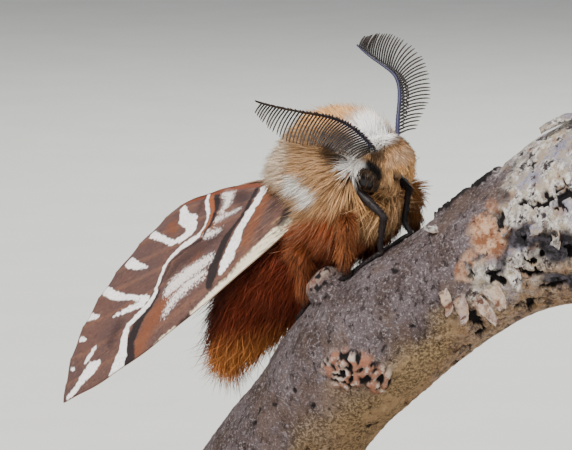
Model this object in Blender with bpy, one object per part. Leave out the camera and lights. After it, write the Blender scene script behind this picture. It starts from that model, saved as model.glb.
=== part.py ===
"""A male kentish glory moth at life size, gripping a short cut length of branch on a plain display stand.

Every length is in millimetres and is turned into metres where a mesh is made. The origin is the centre of the
stand's underside, +Z is up, and the branch climbs towards +X. The moth is modelled in its own frame, where +X is
forwards, +Y is its left side and +Z is its back, with the middle of the thorax at zero.
"""

import math
import random

import bmesh
import bpy
from mathutils import Matrix, Vector, noise
from mathutils.bvhtree import BVHTree

MM = 0.001
GAP = 0.3

# Where the middle of the thorax is above the stand, and how the moth is turned there
THORAX_AT = Vector((-1.0, -4.0, 39.5))
YAW = math.radians(37.9)
PITCH = math.radians(23.8)
ROLL = math.radians(16.1)

# The stand: a flat bevelled base and one short rod up into the branch
BASE_SIZE = (52.0, 42.0, 5.0)
BASE_CORNER = 5.0
BASE_BEVEL = 0.8
ROD_AT = (-5.0, -1.2)
ROD_RADIUS = 1.6
ROD_SINK = 2.6
ROD_TOP = 15.0

# The branch: points on its axis from the low end to the high end, each with its radius
BRANCH_AXIS = [
    (-9.2, 2.0, 11.6, 5.2),
    (-4.0, -1.9, 18.8, 5.3),
    (1.7, -5.6, 26.2, 5.7),
    (8.1, -8.2, 31.5, 5.15),
    (12.2, -8.8, 34.25, 5.45),
    (16.2, -9.1, 36.2, 6.5),
    (20.2, -9.5, 38.1, 7.1),
    (24.2, -9.8, 39.6, 7.0),
]
BRANCH_RINGS = 24
BRANCH_SIDES = 18
BARK_SWELL = 0.25
BARK_SWELL_SIZE = 5.0
BUD_AT = Vector((-2.2, -6.0, 31.4))
BUD_RADIUS = 1.5
BUD_HEIGHT = 1.4

# The trunk of the body: solid cores, which the locks of the coat stand out from
THORAX_AT_REST = Vector((-0.2, 0.0, 0.3))
THORAX_RADII = (5.2, 4.1, 4.3)
HEAD_AT = Vector((6.1, 0.0, -0.8))
HEAD_RADII = (2.2, 2.3, 2.4)
NECK_X = 5.0
ABDOMEN_AXIS = [
    (-4.0, 0.0, -1.0),
    (-7.8, -0.7, -2.8),
    (-11.6, -2.1, -4.9),
    (-14.5, -3.5, -6.9),
    (-16.2, -4.4, -8.2),
]
ABDOMEN_RADII = (2.7, 2.95, 2.8, 2.0, 0.6)
EYE_AT = Vector((5.9, 2.0, -1.05))
EYE_RADIUS = 1.1

# The locks: flat, tapered and bent, each with its root sunk into the body
LOCK_WIDTH = 1.0
LOCK_THICKNESS = 0.52
LOCK_SINK = 0.5
LOCK_BEND = 0.35
LOCK_VARIATION = 0.22
LOCK_SEED = 41
THORAX_LOCKS = 140
HEAD_LOCKS = 80
ABDOMEN_RINGS = 6

# The wings: the right pair is described, and the left pair is its mirror
WING_SWEEP = math.radians(19.5)
WING_DROOP = math.radians(10.3)
WING_LEAN = math.radians(42.0)
WING_THICKNESS = 0.5
VEIN_RISE = 0.22
VEIN_HALF_WIDTH = 0.02
FOREWING = {
    "root": Vector((0.2, -3.1, -0.5)),
    "costa": [(0.0, 0.0), (10.0, -0.6), (22.0, -2.6), (31.6, 0.5)],
    "dorsum": [(0.4, 1.8), (4.5, 5.6), (10.4, 10.1), (16.4, 12.2)],
    "termen": [(31.6, 0.5), (28.8, 5.4), (22.8, 10.1), (16.4, 12.2)],
    "veins": [(0.08, 0.0), (0.2, 0.0), (0.35, 0.48), (0.49, 0.48), (0.62, 0.0), (0.77, 0.25), (0.92, 0.0)],
    "rows": 12,
    "camber": 1.1,
    "scallop": 0.35,
}
HINDWING = {
    "root": Vector((-2.18, -2.23, -0.96)),
    "costa": [(0.0, 0.0), (6.0, -0.4), (13.0, -0.4), (18.0, 1.5)],
    "dorsum": [(0.3, 1.4), (3.0, 3.2), (6.0, 5.2), (9.5, 6.6)],
    "termen": [(18.0, 1.5), (18.8, 5.4), (14.6, 8.2), (9.5, 6.6)],
    "veins": [(0.12, 0.0), (0.32, 0.4), (0.5, 0.4), (0.7, 0.0), (0.9, 0.0)],
    "rows": 9,
    "camber": 0.4,
    "scallop": 0.25,
}

# The feelers: points on each shaft, from the head to the tip, and the way its two rows of rays grow
ANTENNA_RADIUS = 0.3
ANTENNA_TIP_RADIUS = 0.25
RAY_ROWS = 11
RAY_LENGTH = 2.6
RAY_RADIUS = 0.32
RAY_TIP_RADIUS = 0.12
RAY_SWEEP = 0.55
ANTENNAE = {
    "right": {
        "shaft": [
            (7.1, -1.0, -0.3),
            (7.28, -1.43, 1.0),
            (7.1, -1.95, 2.65),
            (6.45, -2.78, 4.21),
            (5.2, -4.0, 5.55),
            (3.77, -5.12, 6.93),
            (2.37, -5.69, 8.17),
        ],
        "rows": [Vector((-0.53, -0.64, -0.53)), Vector((0.75, -0.5, 0.17))],
    },
    "left": {
        "shaft": [
            (7.1, 1.0, -0.3),
            (7.45, 1.9, 1.6),
            (7.73, 3.25, 3.45),
            (7.64, 3.95, 4.91),
            (7.0, 4.0, 6.0),
            (6.11, 3.7, 7.5),
            (5.31, 3.8, 8.75),
        ],
        "rows": [Vector((0.86, 0.27, -0.4)), Vector((-0.47, 0.85, -0.17))],
    },
}

# The legs: hip, knee, ankle and toe of each, before the ankle and toe are set down on the bark
LEG_SIDES = 8
THIGH_RADII = (0.42, 0.6, 0.44)
SHIN_RADII = (0.56, 0.5)
FOOT_RADII = (0.3, 0.34, 0.3, 0.28)
LEGS = {
    "leg_fore_right": [(4.05, -2.2, -1.5), (5.2, -1.9, -4.45), (2.93, -1.9, -6.7), (1.05, -3.3, -7.2)],
    "leg_fore_left": [(4.3, 1.9, -1.8), (5.3, 1.7, -3.4), (3.44, 1.2, -5.8), (1.72, -0.9, -7.0)],
    "leg_mid_right": [(1.2, -2.2, -2.3), (3.1, -3.8, -3.5), (0.6, -4.2, -6.6), (-1.2, -4.5, -7.2)],
    "leg_mid_left": [(1.0, 2.2, -2.3), (2.6, 4.3, -3.6), (1.6, 3.6, -6.4), (0.2, 2.6, -7.2)],
    "leg_hind_right": [(-1.9, -1.7, -2.7), (-2.8, -4.3, -3.8), (-4.9, -4.6, -7.6), (-6.7, -5.0, -8.4)],
    "leg_hind_left": [(-1.9, 1.7, -2.7), (-2.6, 4.0, -4.0), (-4.4, 2.3, -7.8), (-6.0, 1.2, -8.6)],
}

COLOURS = {
    "thorax_coat": (0.45, 0.26, 0.11),
    "head_coat": (0.50, 0.30, 0.13),
    "abdomen_coat": (0.36, 0.13, 0.04),
    "forewing_scales": (0.22, 0.10, 0.06),
    "hindwing_scales": (0.50, 0.22, 0.08),
    "feeler": (0.03, 0.03, 0.04),
    "leg": (0.02, 0.018, 0.02),
    "eye": (0.01, 0.01, 0.012),
    "bark": (0.22, 0.19, 0.18),
    "stand_wood": (0.42, 0.28, 0.17),
    "stand_metal": (0.55, 0.55, 0.56),
}


def finishes():
    """One plain finish for each colour of the part."""
    made = {}
    for name, colour in COLOURS.items():
        made[name] = bpy.data.materials.new(name)
        made[name].use_nodes = True
        shader = made[name].node_tree.nodes["Principled BSDF"]
        shader.inputs["Base Color"].default_value = (*colour, 1.0)
        shader.inputs["Roughness"].default_value = 0.3 if name in ("eye", "stand_metal") else 0.75
        shader.inputs["Metallic"].default_value = 1.0 if name == "stand_metal" else 0.0
    return made


# Points on smooth curves


def bezier(points, t):
    """A point of the Bezier curve that these points shape, at t from 0 to 1."""
    level = [Vector(p) for p in points]
    while len(level) > 1:
        level = [a.lerp(b, t) for a, b in zip(level, level[1:])]
    return level[0]


def through(points, t):
    """A point, at t from 0 to 1, of the smooth curve that passes through these points."""
    known = [Vector(p) for p in points]
    known = [known[0] * 2 - known[1], *known, known[-1] * 2 - known[-2]]
    place = min(t, 1.0) * (len(points) - 1)
    first = min(int(place), len(points) - 2)
    part = place - first
    a, b, c, d = known[first : first + 4]
    return (
        b * 2 + (c - a) * part + (a * 2 - b * 5 + c * 4 - d) * part**2 + (b * 3 - a - c * 3 + d) * part**3
    ) / 2


def sampled(points, count):
    """That many points, evenly spaced in t, on the curve through these points."""
    return [through(points, k / (count - 1)) for k in range(count)]


# Meshes


def mesh_object(name, corners, faces, finish, parent=None):
    """An object from corners in millimetres, with its faces turned outwards."""
    mesh = bpy.data.meshes.new(name)
    mesh.from_pydata([Vector(c) * MM for c in corners], [], faces)
    shape = bmesh.new()
    shape.from_mesh(mesh)
    bmesh.ops.recalc_face_normals(shape, faces=shape.faces)
    shape.to_mesh(mesh)
    shape.free()
    mesh.materials.append(finish)
    made = bpy.data.objects.new(name, mesh)
    bpy.context.scene.collection.objects.link(made)
    made.parent = parent
    return made


def smoothed(made, angle=math.radians(40)):
    made.data.shade_smooth()
    made.data.set_sharp_from_angle(angle=angle)
    return made


def ring_faces(rings, sides):
    """The faces between rings of corners that follow each other, and across both ends."""
    faces = [tuple(range(sides)), tuple(range((rings - 1) * sides, rings * sides))]
    for ring in range(rings - 1):
        for side in range(sides):
            following = (side + 1) % sides
            low, high = ring * sides, (ring + 1) * sides
            faces.append((low + side, low + following, high + following, high + side))
    return faces


def tube_corners(points, radii, sides, across=Vector((0.13, 0.31, 0.94))):
    """Rings of corners round a line of points, each with its own radius."""
    corners = []
    for k, point in enumerate(points):
        along = (points[min(k + 1, len(points) - 1)] - points[max(k - 1, 0)]).normalized()
        first = along.cross(across).normalized()
        second = along.cross(first)
        for side in range(sides):
            turn = math.tau * side / sides
            corners.append(point + (first * math.cos(turn) + second * math.sin(turn)) * radii[k])
    return corners


def tube(name, points, radii, sides, finish, parent=None, grow=0.0):
    """A closed tube along a line of points. It is grown all round, ends too, to make a cutter."""
    points = [Vector(p) for p in points]
    start = (points[0] - points[1]).normalized() * grow
    end = (points[-1] - points[-2]).normalized() * grow
    points[0] += start
    points[-1] += end
    corners = tube_corners(points, [r + grow for r in radii], sides)
    return mesh_object(name, corners, ring_faces(len(points), sides), finish, parent)


def ellipsoid(name, at, radii, finish, parent=None, sides=20, rings=12):
    """A closed egg shape with one corner at each end of its X axis."""
    corners = [Vector(at) + Vector((radii[0], 0, 0)), Vector(at) - Vector((radii[0], 0, 0))]
    for ring in range(1, rings):
        tilt = math.pi * ring / rings
        for side in range(sides):
            turn = math.tau * (side + 0.5 * (ring % 2)) / sides
            round_it = Vector((math.cos(tilt), math.sin(tilt) * math.cos(turn), math.sin(tilt) * math.sin(turn)))
            corners.append(Vector(at) + Vector([r * c for r, c in zip(radii, round_it)]))
    faces = []
    last = 2 + (rings - 2) * sides
    for side in range(sides):
        following = (side + 1) % sides
        faces.append((0, 2 + side, 2 + following))
        faces.append((1, last + following, last + side))
        for ring in range(rings - 2):
            low, high = 2 + ring * sides, 2 + (ring + 1) * sides
            if ring % 2:
                faces.append((low + side, low + following, high + side))
                faces.append((low + following, high + following, high + side))
            else:
                faces.append((low + side, high + following, high + side))
                faces.append((low + side, low + following, high + following))
    return mesh_object(name, corners, faces, finish, parent)


# Joining and cutting


def largest_body(mesh):
    """Takes every closed surface but the largest out of a mesh."""
    shape = bmesh.new()
    shape.from_mesh(mesh)
    bmesh.ops.triangulate(shape, faces=shape.faces)
    left = set(shape.faces)
    bodies = []
    while left:
        body, edge = set(), [left.pop()]
        while edge:
            face = edge.pop()
            body.add(face)
            for near in {f for e in face.edges for f in e.link_faces} & left:
                left.remove(near)
                edge.append(near)
        volume = sum(f.verts[0].co.dot(f.verts[1].co.cross(f.verts[2].co)) for f in body)
        bodies.append((volume, body))
    keep = max(bodies, key=lambda body: body[0])[1]
    bmesh.ops.delete(shape, geom=[f for f in shape.faces if f not in keep], context="FACES")
    shape.to_mesh(mesh)
    shape.free()


def combine(made, pieces, operation, solver="EXACT"):
    """Joins pieces to an object, or cuts it by them, with one Boolean, and then removes the pieces."""
    group = bpy.data.collections.new(made.name + "_" + operation.lower())
    for piece in pieces:
        bpy.context.scene.collection.objects.unlink(piece)
        group.objects.link(piece)
    bpy.context.scene.collection.children.link(group)
    change = made.modifiers.new(operation.lower(), "BOOLEAN")
    change.operation = operation
    change.solver = solver
    change.operand_type = "COLLECTION"
    change.collection = group
    bpy.context.view_layer.update()
    changed = bpy.data.meshes.new_from_object(made.evaluated_get(bpy.context.evaluated_depsgraph_get()))
    made.modifiers.clear()
    made.data = changed
    for piece in pieces:
        bpy.data.objects.remove(piece)
    bpy.data.collections.remove(group)
    largest_body(made.data)
    return made


def half_space(name, at, towards, reach, finish, parent=None):
    """A large block whose near face passes through a point, to cut a body off flat."""
    towards = towards.normalized()
    first = towards.orthogonal().normalized()
    second = towards.cross(first)
    corners = []
    for depth in (0.0, reach):
        for a, b in ((-1, -1), (1, -1), (1, 1), (-1, 1)):
            corners.append(Vector(at) + towards * depth + (first * a + second * b) * reach)
    return mesh_object(name, corners, ring_faces(2, 4), finish, parent)


# The branch


def branch_place(t):
    """The axis point, radius and two directions across the branch at t from 0 to 1."""
    at = through([p[:3] for p in BRANCH_AXIS], t)
    ahead = through([p[:3] for p in BRANCH_AXIS], min(t + 0.01, 1.0))
    behind = through([p[:3] for p in BRANCH_AXIS], max(t - 0.01, 0.0))
    radius = through([(p[3], 0, 0) for p in BRANCH_AXIS], t).x
    along = (ahead - behind).normalized()
    first = along.cross(Vector((0, 1, 0))).normalized()
    return at, radius, first, along.cross(first)


def bark_radius(t, across):
    """How far the bark is from the axis in a direction across it, with the branch's soft swellings."""
    at, radius, _, _ = branch_place(t)
    return radius + BARK_SWELL * noise.noise((at + across * radius) / BARK_SWELL_SIZE)


def bark_point(point, lift):
    """The place on the bark nearest a point, raised off it, and the direction out of the bark there."""
    t = min((k / 300 for k in range(301)), key=lambda t: (branch_place(t)[0] - point).length)
    at = branch_place(t)[0]
    out = (point - at).normalized()
    return at + out * (bark_radius(t, out) + lift), out


def branch_corners(grow=0.0):
    corners = []
    for ring in range(BRANCH_RINGS):
        t = ring / (BRANCH_RINGS - 1)
        at, _, first, second = branch_place(t)
        for side in range(BRANCH_SIDES):
            turn = math.tau * side / BRANCH_SIDES
            out = first * math.cos(turn) + second * math.sin(turn)
            corners.append(at + out * (bark_radius(t, out) + grow))
    return corners


def branch(name, finish, grow=0.0):
    """The cut length of branch with the stub of a broken bud, or a grown copy of both as a cutter."""
    made = mesh_object(name, branch_corners(grow), ring_faces(BRANCH_RINGS, BRANCH_SIDES), finish)
    foot, out = bark_point(BUD_AT, -1.5)
    heights = (0.0, 1.5 + 0.4 * BUD_HEIGHT, 1.5 + BUD_HEIGHT + grow)
    swell = (1.15, 1.0, 0.72)
    points = [foot + out * h for h in heights]
    stub = tube(name + "_bud", points, [BUD_RADIUS * s + grow for s in swell], 10, finish)
    return combine(made, [stub], "UNION")


# The stand


def stand_base(finish):
    """A flat plate with round corners and a bevelled edge, with a blind hole for the rod."""
    width, depth, height = BASE_SIZE
    outline = []
    for quarter in range(4):
        turn = math.tau * quarter / 4
        x = (width / 2 - BASE_CORNER) * (1 if quarter in (0, 3) else -1)
        y = (depth / 2 - BASE_CORNER) * (1 if quarter in (0, 1) else -1)
        for step in range(6):
            angle = turn + math.pi / 2 * step / 5
            outline.append(Vector((x, y, 0)) + Vector((math.cos(angle), math.sin(angle), 0)) * BASE_CORNER)
    shrink = Vector((1 - 2 * BASE_BEVEL / width, 1 - 2 * BASE_BEVEL / depth, 1))
    corners = list(outline)
    corners += [p + Vector((0, 0, height - BASE_BEVEL)) for p in outline]
    corners += [p * shrink + Vector((0, 0, height)) for p in outline]
    made = mesh_object("stand_base", corners, ring_faces(3, len(outline)), finish)
    hole = [Vector((*ROD_AT, height - ROD_SINK)), Vector((*ROD_AT, height + 5))]
    combine(made, [tube("hole", hole, [ROD_RADIUS + GAP] * 2, 24, finish)], "DIFFERENCE")
    return smoothed(made)


def rod_line(grow=0.0):
    bottom = BASE_SIZE[2] - ROD_SINK + GAP
    return [Vector((*ROD_AT, bottom)), Vector((*ROD_AT, ROD_TOP + grow))]


# The wings


def wing_axes():
    """The right wings' directions: along the front edge, across to the back edge, and out of the upper side."""
    sweep = Matrix.Rotation(WING_SWEEP, 3, "Z")
    droop = Matrix.Rotation(-WING_DROOP, 3, "Y")
    along = sweep @ (droop @ Vector((-1, 0, 0)))
    out = Vector((0, -math.sin(WING_LEAN), math.cos(WING_LEAN)))
    out = (out - along * out.dot(along)).normalized()
    return along, along.cross(out), out


def wing_flat(spec, i, j):
    """The flat place on a wing at i from root to outer edge and j from front edge to back edge."""
    front, back = bezier(spec["costa"], i), bezier(spec["dorsum"], i)
    root = Vector(spec["costa"][0]).lerp(Vector(spec["dorsum"][0]), j)
    edge = bezier(spec["termen"], j)
    chord_root, chord_edge = Vector(spec["costa"][0]), Vector(spec["costa"][-1])
    far_root, far_edge = Vector(spec["dorsum"][0]), Vector(spec["dorsum"][-1])
    corners = (chord_root.lerp(far_root, j)).lerp(chord_edge.lerp(far_edge, j), i)
    return front.lerp(back, j) + root.lerp(edge, i) - corners


def wing_height(spec, i, j):
    """How far the wing's middle surface stands above its flat plan: arched, and waved between the veins."""
    arch = spec["camber"] * math.sin(math.pi * j) * (0.35 + 0.65 * i)
    rolled = -0.9 * (1 - j) ** 6 * (1 - 0.7 * i)
    waves = spec["scallop"] * math.sin(math.tau * j * len(spec["veins"]) / 1.05) * i**3
    return arch + rolled + waves * 0.5


def vein_rise(spec, i, j):
    """The height of the vein ridge at a place on the wing."""
    for place, start in spec["veins"]:
        if abs(j - place) < VEIN_HALF_WIDTH / 2 and i >= start:
            return VEIN_RISE * min(1.0, (i - start) * 8 + 0.3) * (1 - 0.5 * i)
    return 0.0


def wing(name, spec, mirror, finish, parent=None, grow=0.0):
    """A thin arched sheet with its main veins raised on its upper side."""
    along, across, out = wing_axes()
    columns = {0.0, 1.0}
    for place, _ in spec["veins"]:
        columns |= {place - VEIN_HALF_WIDTH, place, place + VEIN_HALF_WIDTH}
    columns = sorted(columns)
    rows = [k / (spec["rows"] - 1) for k in range(spec["rows"])]
    upper, lower = [], []
    for i in rows:
        for j in columns:
            flat = wing_flat(spec, i, j)
            inward = wing_flat(spec, 0.5, 0.5) - flat
            flat = flat - inward.normalized() * grow
            height = wing_height(spec, i, j)
            at = spec["root"] + along * flat.x + across * flat.y + out * height
            upper.append(at + out * (WING_THICKNESS / 2 + vein_rise(spec, i, j) + grow))
            lower.append(at - out * (WING_THICKNESS / 2 + grow))
    meet = -0.6 * GAP + grow
    corners = [Vector((c.x, min(c.y, meet) * mirror, c.z)) for c in upper + lower]
    wide, count = len(columns), len(upper)
    faces = []
    for row in range(len(rows) - 1):
        for column in range(wide - 1):
            a = row * wide + column
            for tri in ((a, a + 1, a + wide + 1), (a, a + wide + 1, a + wide)):
                faces.append(tri)
                faces.append(tuple(reversed([t + count for t in tri])))
    border = [c for c in range(wide)]
    border += [r * wide + wide - 1 for r in range(1, len(rows))]
    border += [(len(rows) - 1) * wide + c for c in reversed(range(wide - 1))]
    border += [r * wide for r in reversed(range(1, len(rows) - 1))]
    for a, b in zip(border, border[1:] + border[:1]):
        faces.append((b, a, a + count))
        faces.append((b, a + count, b + count))
    return mesh_object(name, corners, faces, finish, parent)


# The feelers


def along_line(points, k):
    """The direction of a line of points at one of them."""
    return (points[min(k + 1, len(points) - 1)] - points[max(k - 1, 0)]).normalized()


def feeler_shaft(name, spec, finish, parent, grow=0.0):
    points = sampled(spec["shaft"], 11)
    radii = [ANTENNA_RADIUS + (ANTENNA_TIP_RADIUS - ANTENNA_RADIUS) * k / 10 for k in range(11)]
    return tube(name, points, radii, 6, finish, parent, grow)


def ray_reach(t):
    """How long a ray is at t along the shaft: short at the head, longest in the middle, short again at the tip."""
    rise = min(1.0, 0.4 + 2.2 * t)
    fall = min(1.0, 0.3 + 2.4 * (1.0 - t))
    return RAY_LENGTH * rise * fall


def feeler(name, spec, finish, parent):
    """A feeler's shaft with its two rows of rays, each swept towards the tip and curved back across."""
    made = feeler_shaft(name, spec, finish, parent)
    points = sampled(spec["shaft"], 61)
    rays = []
    for row, side in enumerate(spec["rows"]):
        for step in range(RAY_ROWS):
            t = 0.13 + 0.84 * (step + 0.5 * row) / (RAY_ROWS - 0.5)
            k = round(t * 60)
            ahead = along_line(points, k)
            wide = (side - ahead * side.dot(ahead)).normalized()
            reach = ray_reach(t)
            line = []
            for part in (0.0, 0.45, 1.0):
                sweep = RAY_SWEEP * (part - 0.55 * part * part)
                line.append(points[k] + (wide * part + ahead * sweep) * reach)
            radii = [RAY_RADIUS, 0.85 * RAY_RADIUS, RAY_TIP_RADIUS]
            rays.append(tube("ray", line, radii, 3, finish, parent))
    return smoothed(combine(made, rays, "UNION"))


# The coat


def lock_line(root, out, lie, length, lift):
    """The middle of a lock: it leaves the body at a lift and bends over the way the coat lies."""
    flat = (lie - out * lie.dot(out)).normalized()
    rise = out * math.sin(lift) + flat * math.cos(lift)
    bend = flat * LOCK_BEND - out * LOCK_BEND * 0.6
    line = [root - rise * LOCK_SINK]
    for part in (0.35, 0.72, 1.0):
        line.append(root + (rise * part + bend * part * part) * length)
    return line


def lock(line, out, width, finish, parent):
    """A flat tapered closed lock along its line."""
    corners = []
    for k, point in enumerate(line[:-1]):
        ahead = along_line(line, k)
        wide = ahead.cross(out).normalized() * width / 2 * (0.9, 1.0, 0.7)[k]
        thin = wide.cross(ahead).normalized() * LOCK_THICKNESS / 2 * (1.0, 1.0, 0.85)[k]
        corners += [point + wide + thin, point - thin, point - wide + thin]
    corners.append(line[-1])
    faces = ring_faces(3, 3)
    faces = [faces[0], *faces[2:]]
    tip = len(corners) - 1
    faces += [(6 + side, 6 + (side + 1) % 3, tip) for side in range(3)]
    return mesh_object("lock", corners, faces, finish, parent)


def inside(tree, point):
    """True where a line drawn from a point leaves a closed surface one time more than it enters it."""
    way = Vector((0.31, 0.83, 0.46)).normalized()
    crossings = 0
    hit = tree.ray_cast(point, way)[0]
    while hit is not None:
        crossings += 1
        hit = tree.ray_cast(hit + way * 0.001, way)[0]
    return crossings % 2 == 1


def clear_of(line, width, obstacles):
    """True where a lock keeps its distance from every other piece."""
    for a, b in zip(line, line[1:]):
        for part in (0.0, 0.5, 1.0):
            point = a.lerp(b, part)
            slim = 0.2 if b is line[-1] and part > 0.4 else 0.5
            for tree in obstacles:
                if tree.find_nearest(point)[3] < GAP + 0.05 + width * slim:
                    return False
    return not any(inside(tree, point) for tree in obstacles for point in line)


def obstacle(pieces):
    """The surface of some pieces, in the moth's frame, to keep a lock clear of."""
    trees = []
    for piece in pieces:
        place = piece.matrix_local if piece.parent else MOTH_FRAME.inverted() @ piece.matrix_world
        corners = [(place @ v.co) / MM for v in piece.data.vertices]
        trees.append(BVHTree.FromPolygons(corners, [tuple(p.vertices) for p in piece.data.polygons]))
    return trees


def add_coat(made, roots, obstacles, finish, parent):
    """Joins a lock to the body at each root where there is room for one, full length or shorter."""
    picker = random.Random(LOCK_SEED + len(roots))
    locks = []
    for root, out, lie, length, lift in roots:
        vary = 1 + picker.uniform(-LOCK_VARIATION, LOCK_VARIATION)
        twist = Vector([picker.uniform(-0.25, 0.25) for _ in range(3)])
        width = LOCK_WIDTH * (1 + picker.uniform(-LOCK_VARIATION, LOCK_VARIATION) * 0.6)
        for shorter in (1.0, 0.8, 0.6, 0.45):
            line = lock_line(root, out, lie + twist, length * vary * shorter, lift)
            if clear_of(line, width, obstacles):
                locks.append(lock(line, out, width, finish, parent))
                break
    print(made.name, len(locks), "locks of", len(roots))
    return smoothed(combine(made, locks, "UNION"), math.radians(50))


def egg_roots(at, radii, count):
    """Evenly spread places on an egg shape, each with its direction outwards."""
    placed = []
    for k in range(count):
        across = 1 - 2 * (k + 0.5) / count
        turn = math.pi * (1 + 5**0.5) * k
        ring = math.sqrt(1 - across * across)
        unit = Vector((across, ring * math.cos(turn), ring * math.sin(turn)))
        root = Vector(at) + Vector([r * c for r, c in zip(radii, unit)])
        out = Vector([c / r for r, c in zip(radii, unit)]).normalized()
        placed.append((root, out))
    return placed


def thorax_roots():
    """The back and flanks lie backwards over the wing roots, and the chest hangs down towards the bark."""
    roots = []
    for root, out in egg_roots(THORAX_AT_REST, THORAX_RADII, THORAX_LOCKS):
        if root.x > NECK_X - 0.6 or root.x < -4.0:
            continue
        chest = min(1.0, max(0.0, -1.2 * out.z - 0.1))
        lie = Vector((-1.0, 0.0, -0.3 * chest))
        crest = max(0.0, out.z)
        flank = max(0.0, 1.0 - abs(out.z - 0.35) * 2.0)
        length = 2.2 + 0.7 * crest + 1.1 * flank * (root.x < 1.5) + 1.3 * chest
        roots.append((root, out, lie, length, math.radians(34 + 34 * chest)))
    return roots


def head_roots():
    roots = []
    for root, out in egg_roots(HEAD_AT, HEAD_RADII, HEAD_LOCKS):
        if root.x < NECK_X + 0.8:
            continue
        low = max(0.0, -out.z)
        lie = Vector((-0.3 * low, out.y * 0.6, -1.0))
        roots.append((root, out, lie, 1.6 + 0.7 * low, math.radians(36 + 34 * low)))
    return roots


def abdomen_roots():
    """Places in rings round the abdomen, closer together towards its tip."""
    roots = []
    for ring in range(ABDOMEN_RINGS):
        t = 0.1 + 0.88 * ring / (ABDOMEN_RINGS - 1)
        at = through(ABDOMEN_AXIS, t)
        back = (through(ABDOMEN_AXIS, min(1.0, t + 0.02)) - through(ABDOMEN_AXIS, t - 0.02)).normalized()
        radius = through([(r, 0, 0) for r in ABDOMEN_RADII], t).x
        first = back.cross(Vector((0, 1, 0))).normalized()
        second = back.cross(first)
        count = max(5, round(math.tau * radius / 1.55))
        for k in range(count):
            turn = math.tau * (k + 0.5 * (ring % 2)) / count
            out = first * math.cos(turn) + second * math.sin(turn)
            length = 2.4 if t < 0.6 else 2.4 + 3.2 * (t - 0.6)
            roots.append((at + out * radius * 0.97, out, back, length, math.radians(30 - 16 * t)))
    return roots


# The legs


def leg_line(joints):
    """The middle of a leg with its radii: a thick thigh, a shin, and a thinner foot along the bark."""
    hip, knee, ankle, toe = joints
    line = [hip, hip.lerp(knee, 0.5), knee]
    radii = list(THIGH_RADII)
    for part, radius in zip((0.3, 0.75), SHIN_RADII):
        line.append(knee.lerp(ankle, part))
        radii.append(radius)
    line.append(ankle)
    radii.append(FOOT_RADII[0])
    for part, radius in zip((0.35, 0.7, 1.0), FOOT_RADII[1:]):
        line.append(ankle.lerp(toe, part))
        radii.append(radius)
    return line, radii


def moth_frame():
    """How the moth is turned and placed above the stand."""
    forwards = Vector((math.sin(YAW) * math.cos(PITCH), -math.cos(YAW) * math.cos(PITCH), math.sin(PITCH)))
    level_left = Vector((math.cos(YAW), math.sin(YAW), 0))
    level_up = forwards.cross(level_left)
    left = level_left * math.cos(ROLL) + level_up * math.sin(ROLL)
    turned = Matrix((forwards, left, forwards.cross(left))).transposed()
    return Matrix.LocRotScale(THORAX_AT * MM, turned, None)


MOTH_FRAME = moth_frame()


def set_down(point, lift):
    """A place in the moth's frame, set down on the bark."""
    placed, _ = bark_point(MOTH_FRAME @ (Vector(point) * MM) / MM, lift)
    return MOTH_FRAME.inverted() @ (placed * MM) / MM


def leg_lines():
    """Each leg's line and radii, with its foot lying on the bark."""
    lines = {}
    for name, joints in LEGS.items():
        line, radii = leg_line([Vector(j) for j in joints])
        for k in range(5, len(line)):
            line[k] = set_down(line[k], radii[k] + GAP * 0.9)
        lines[name] = (line, radii)
    return lines


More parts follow.
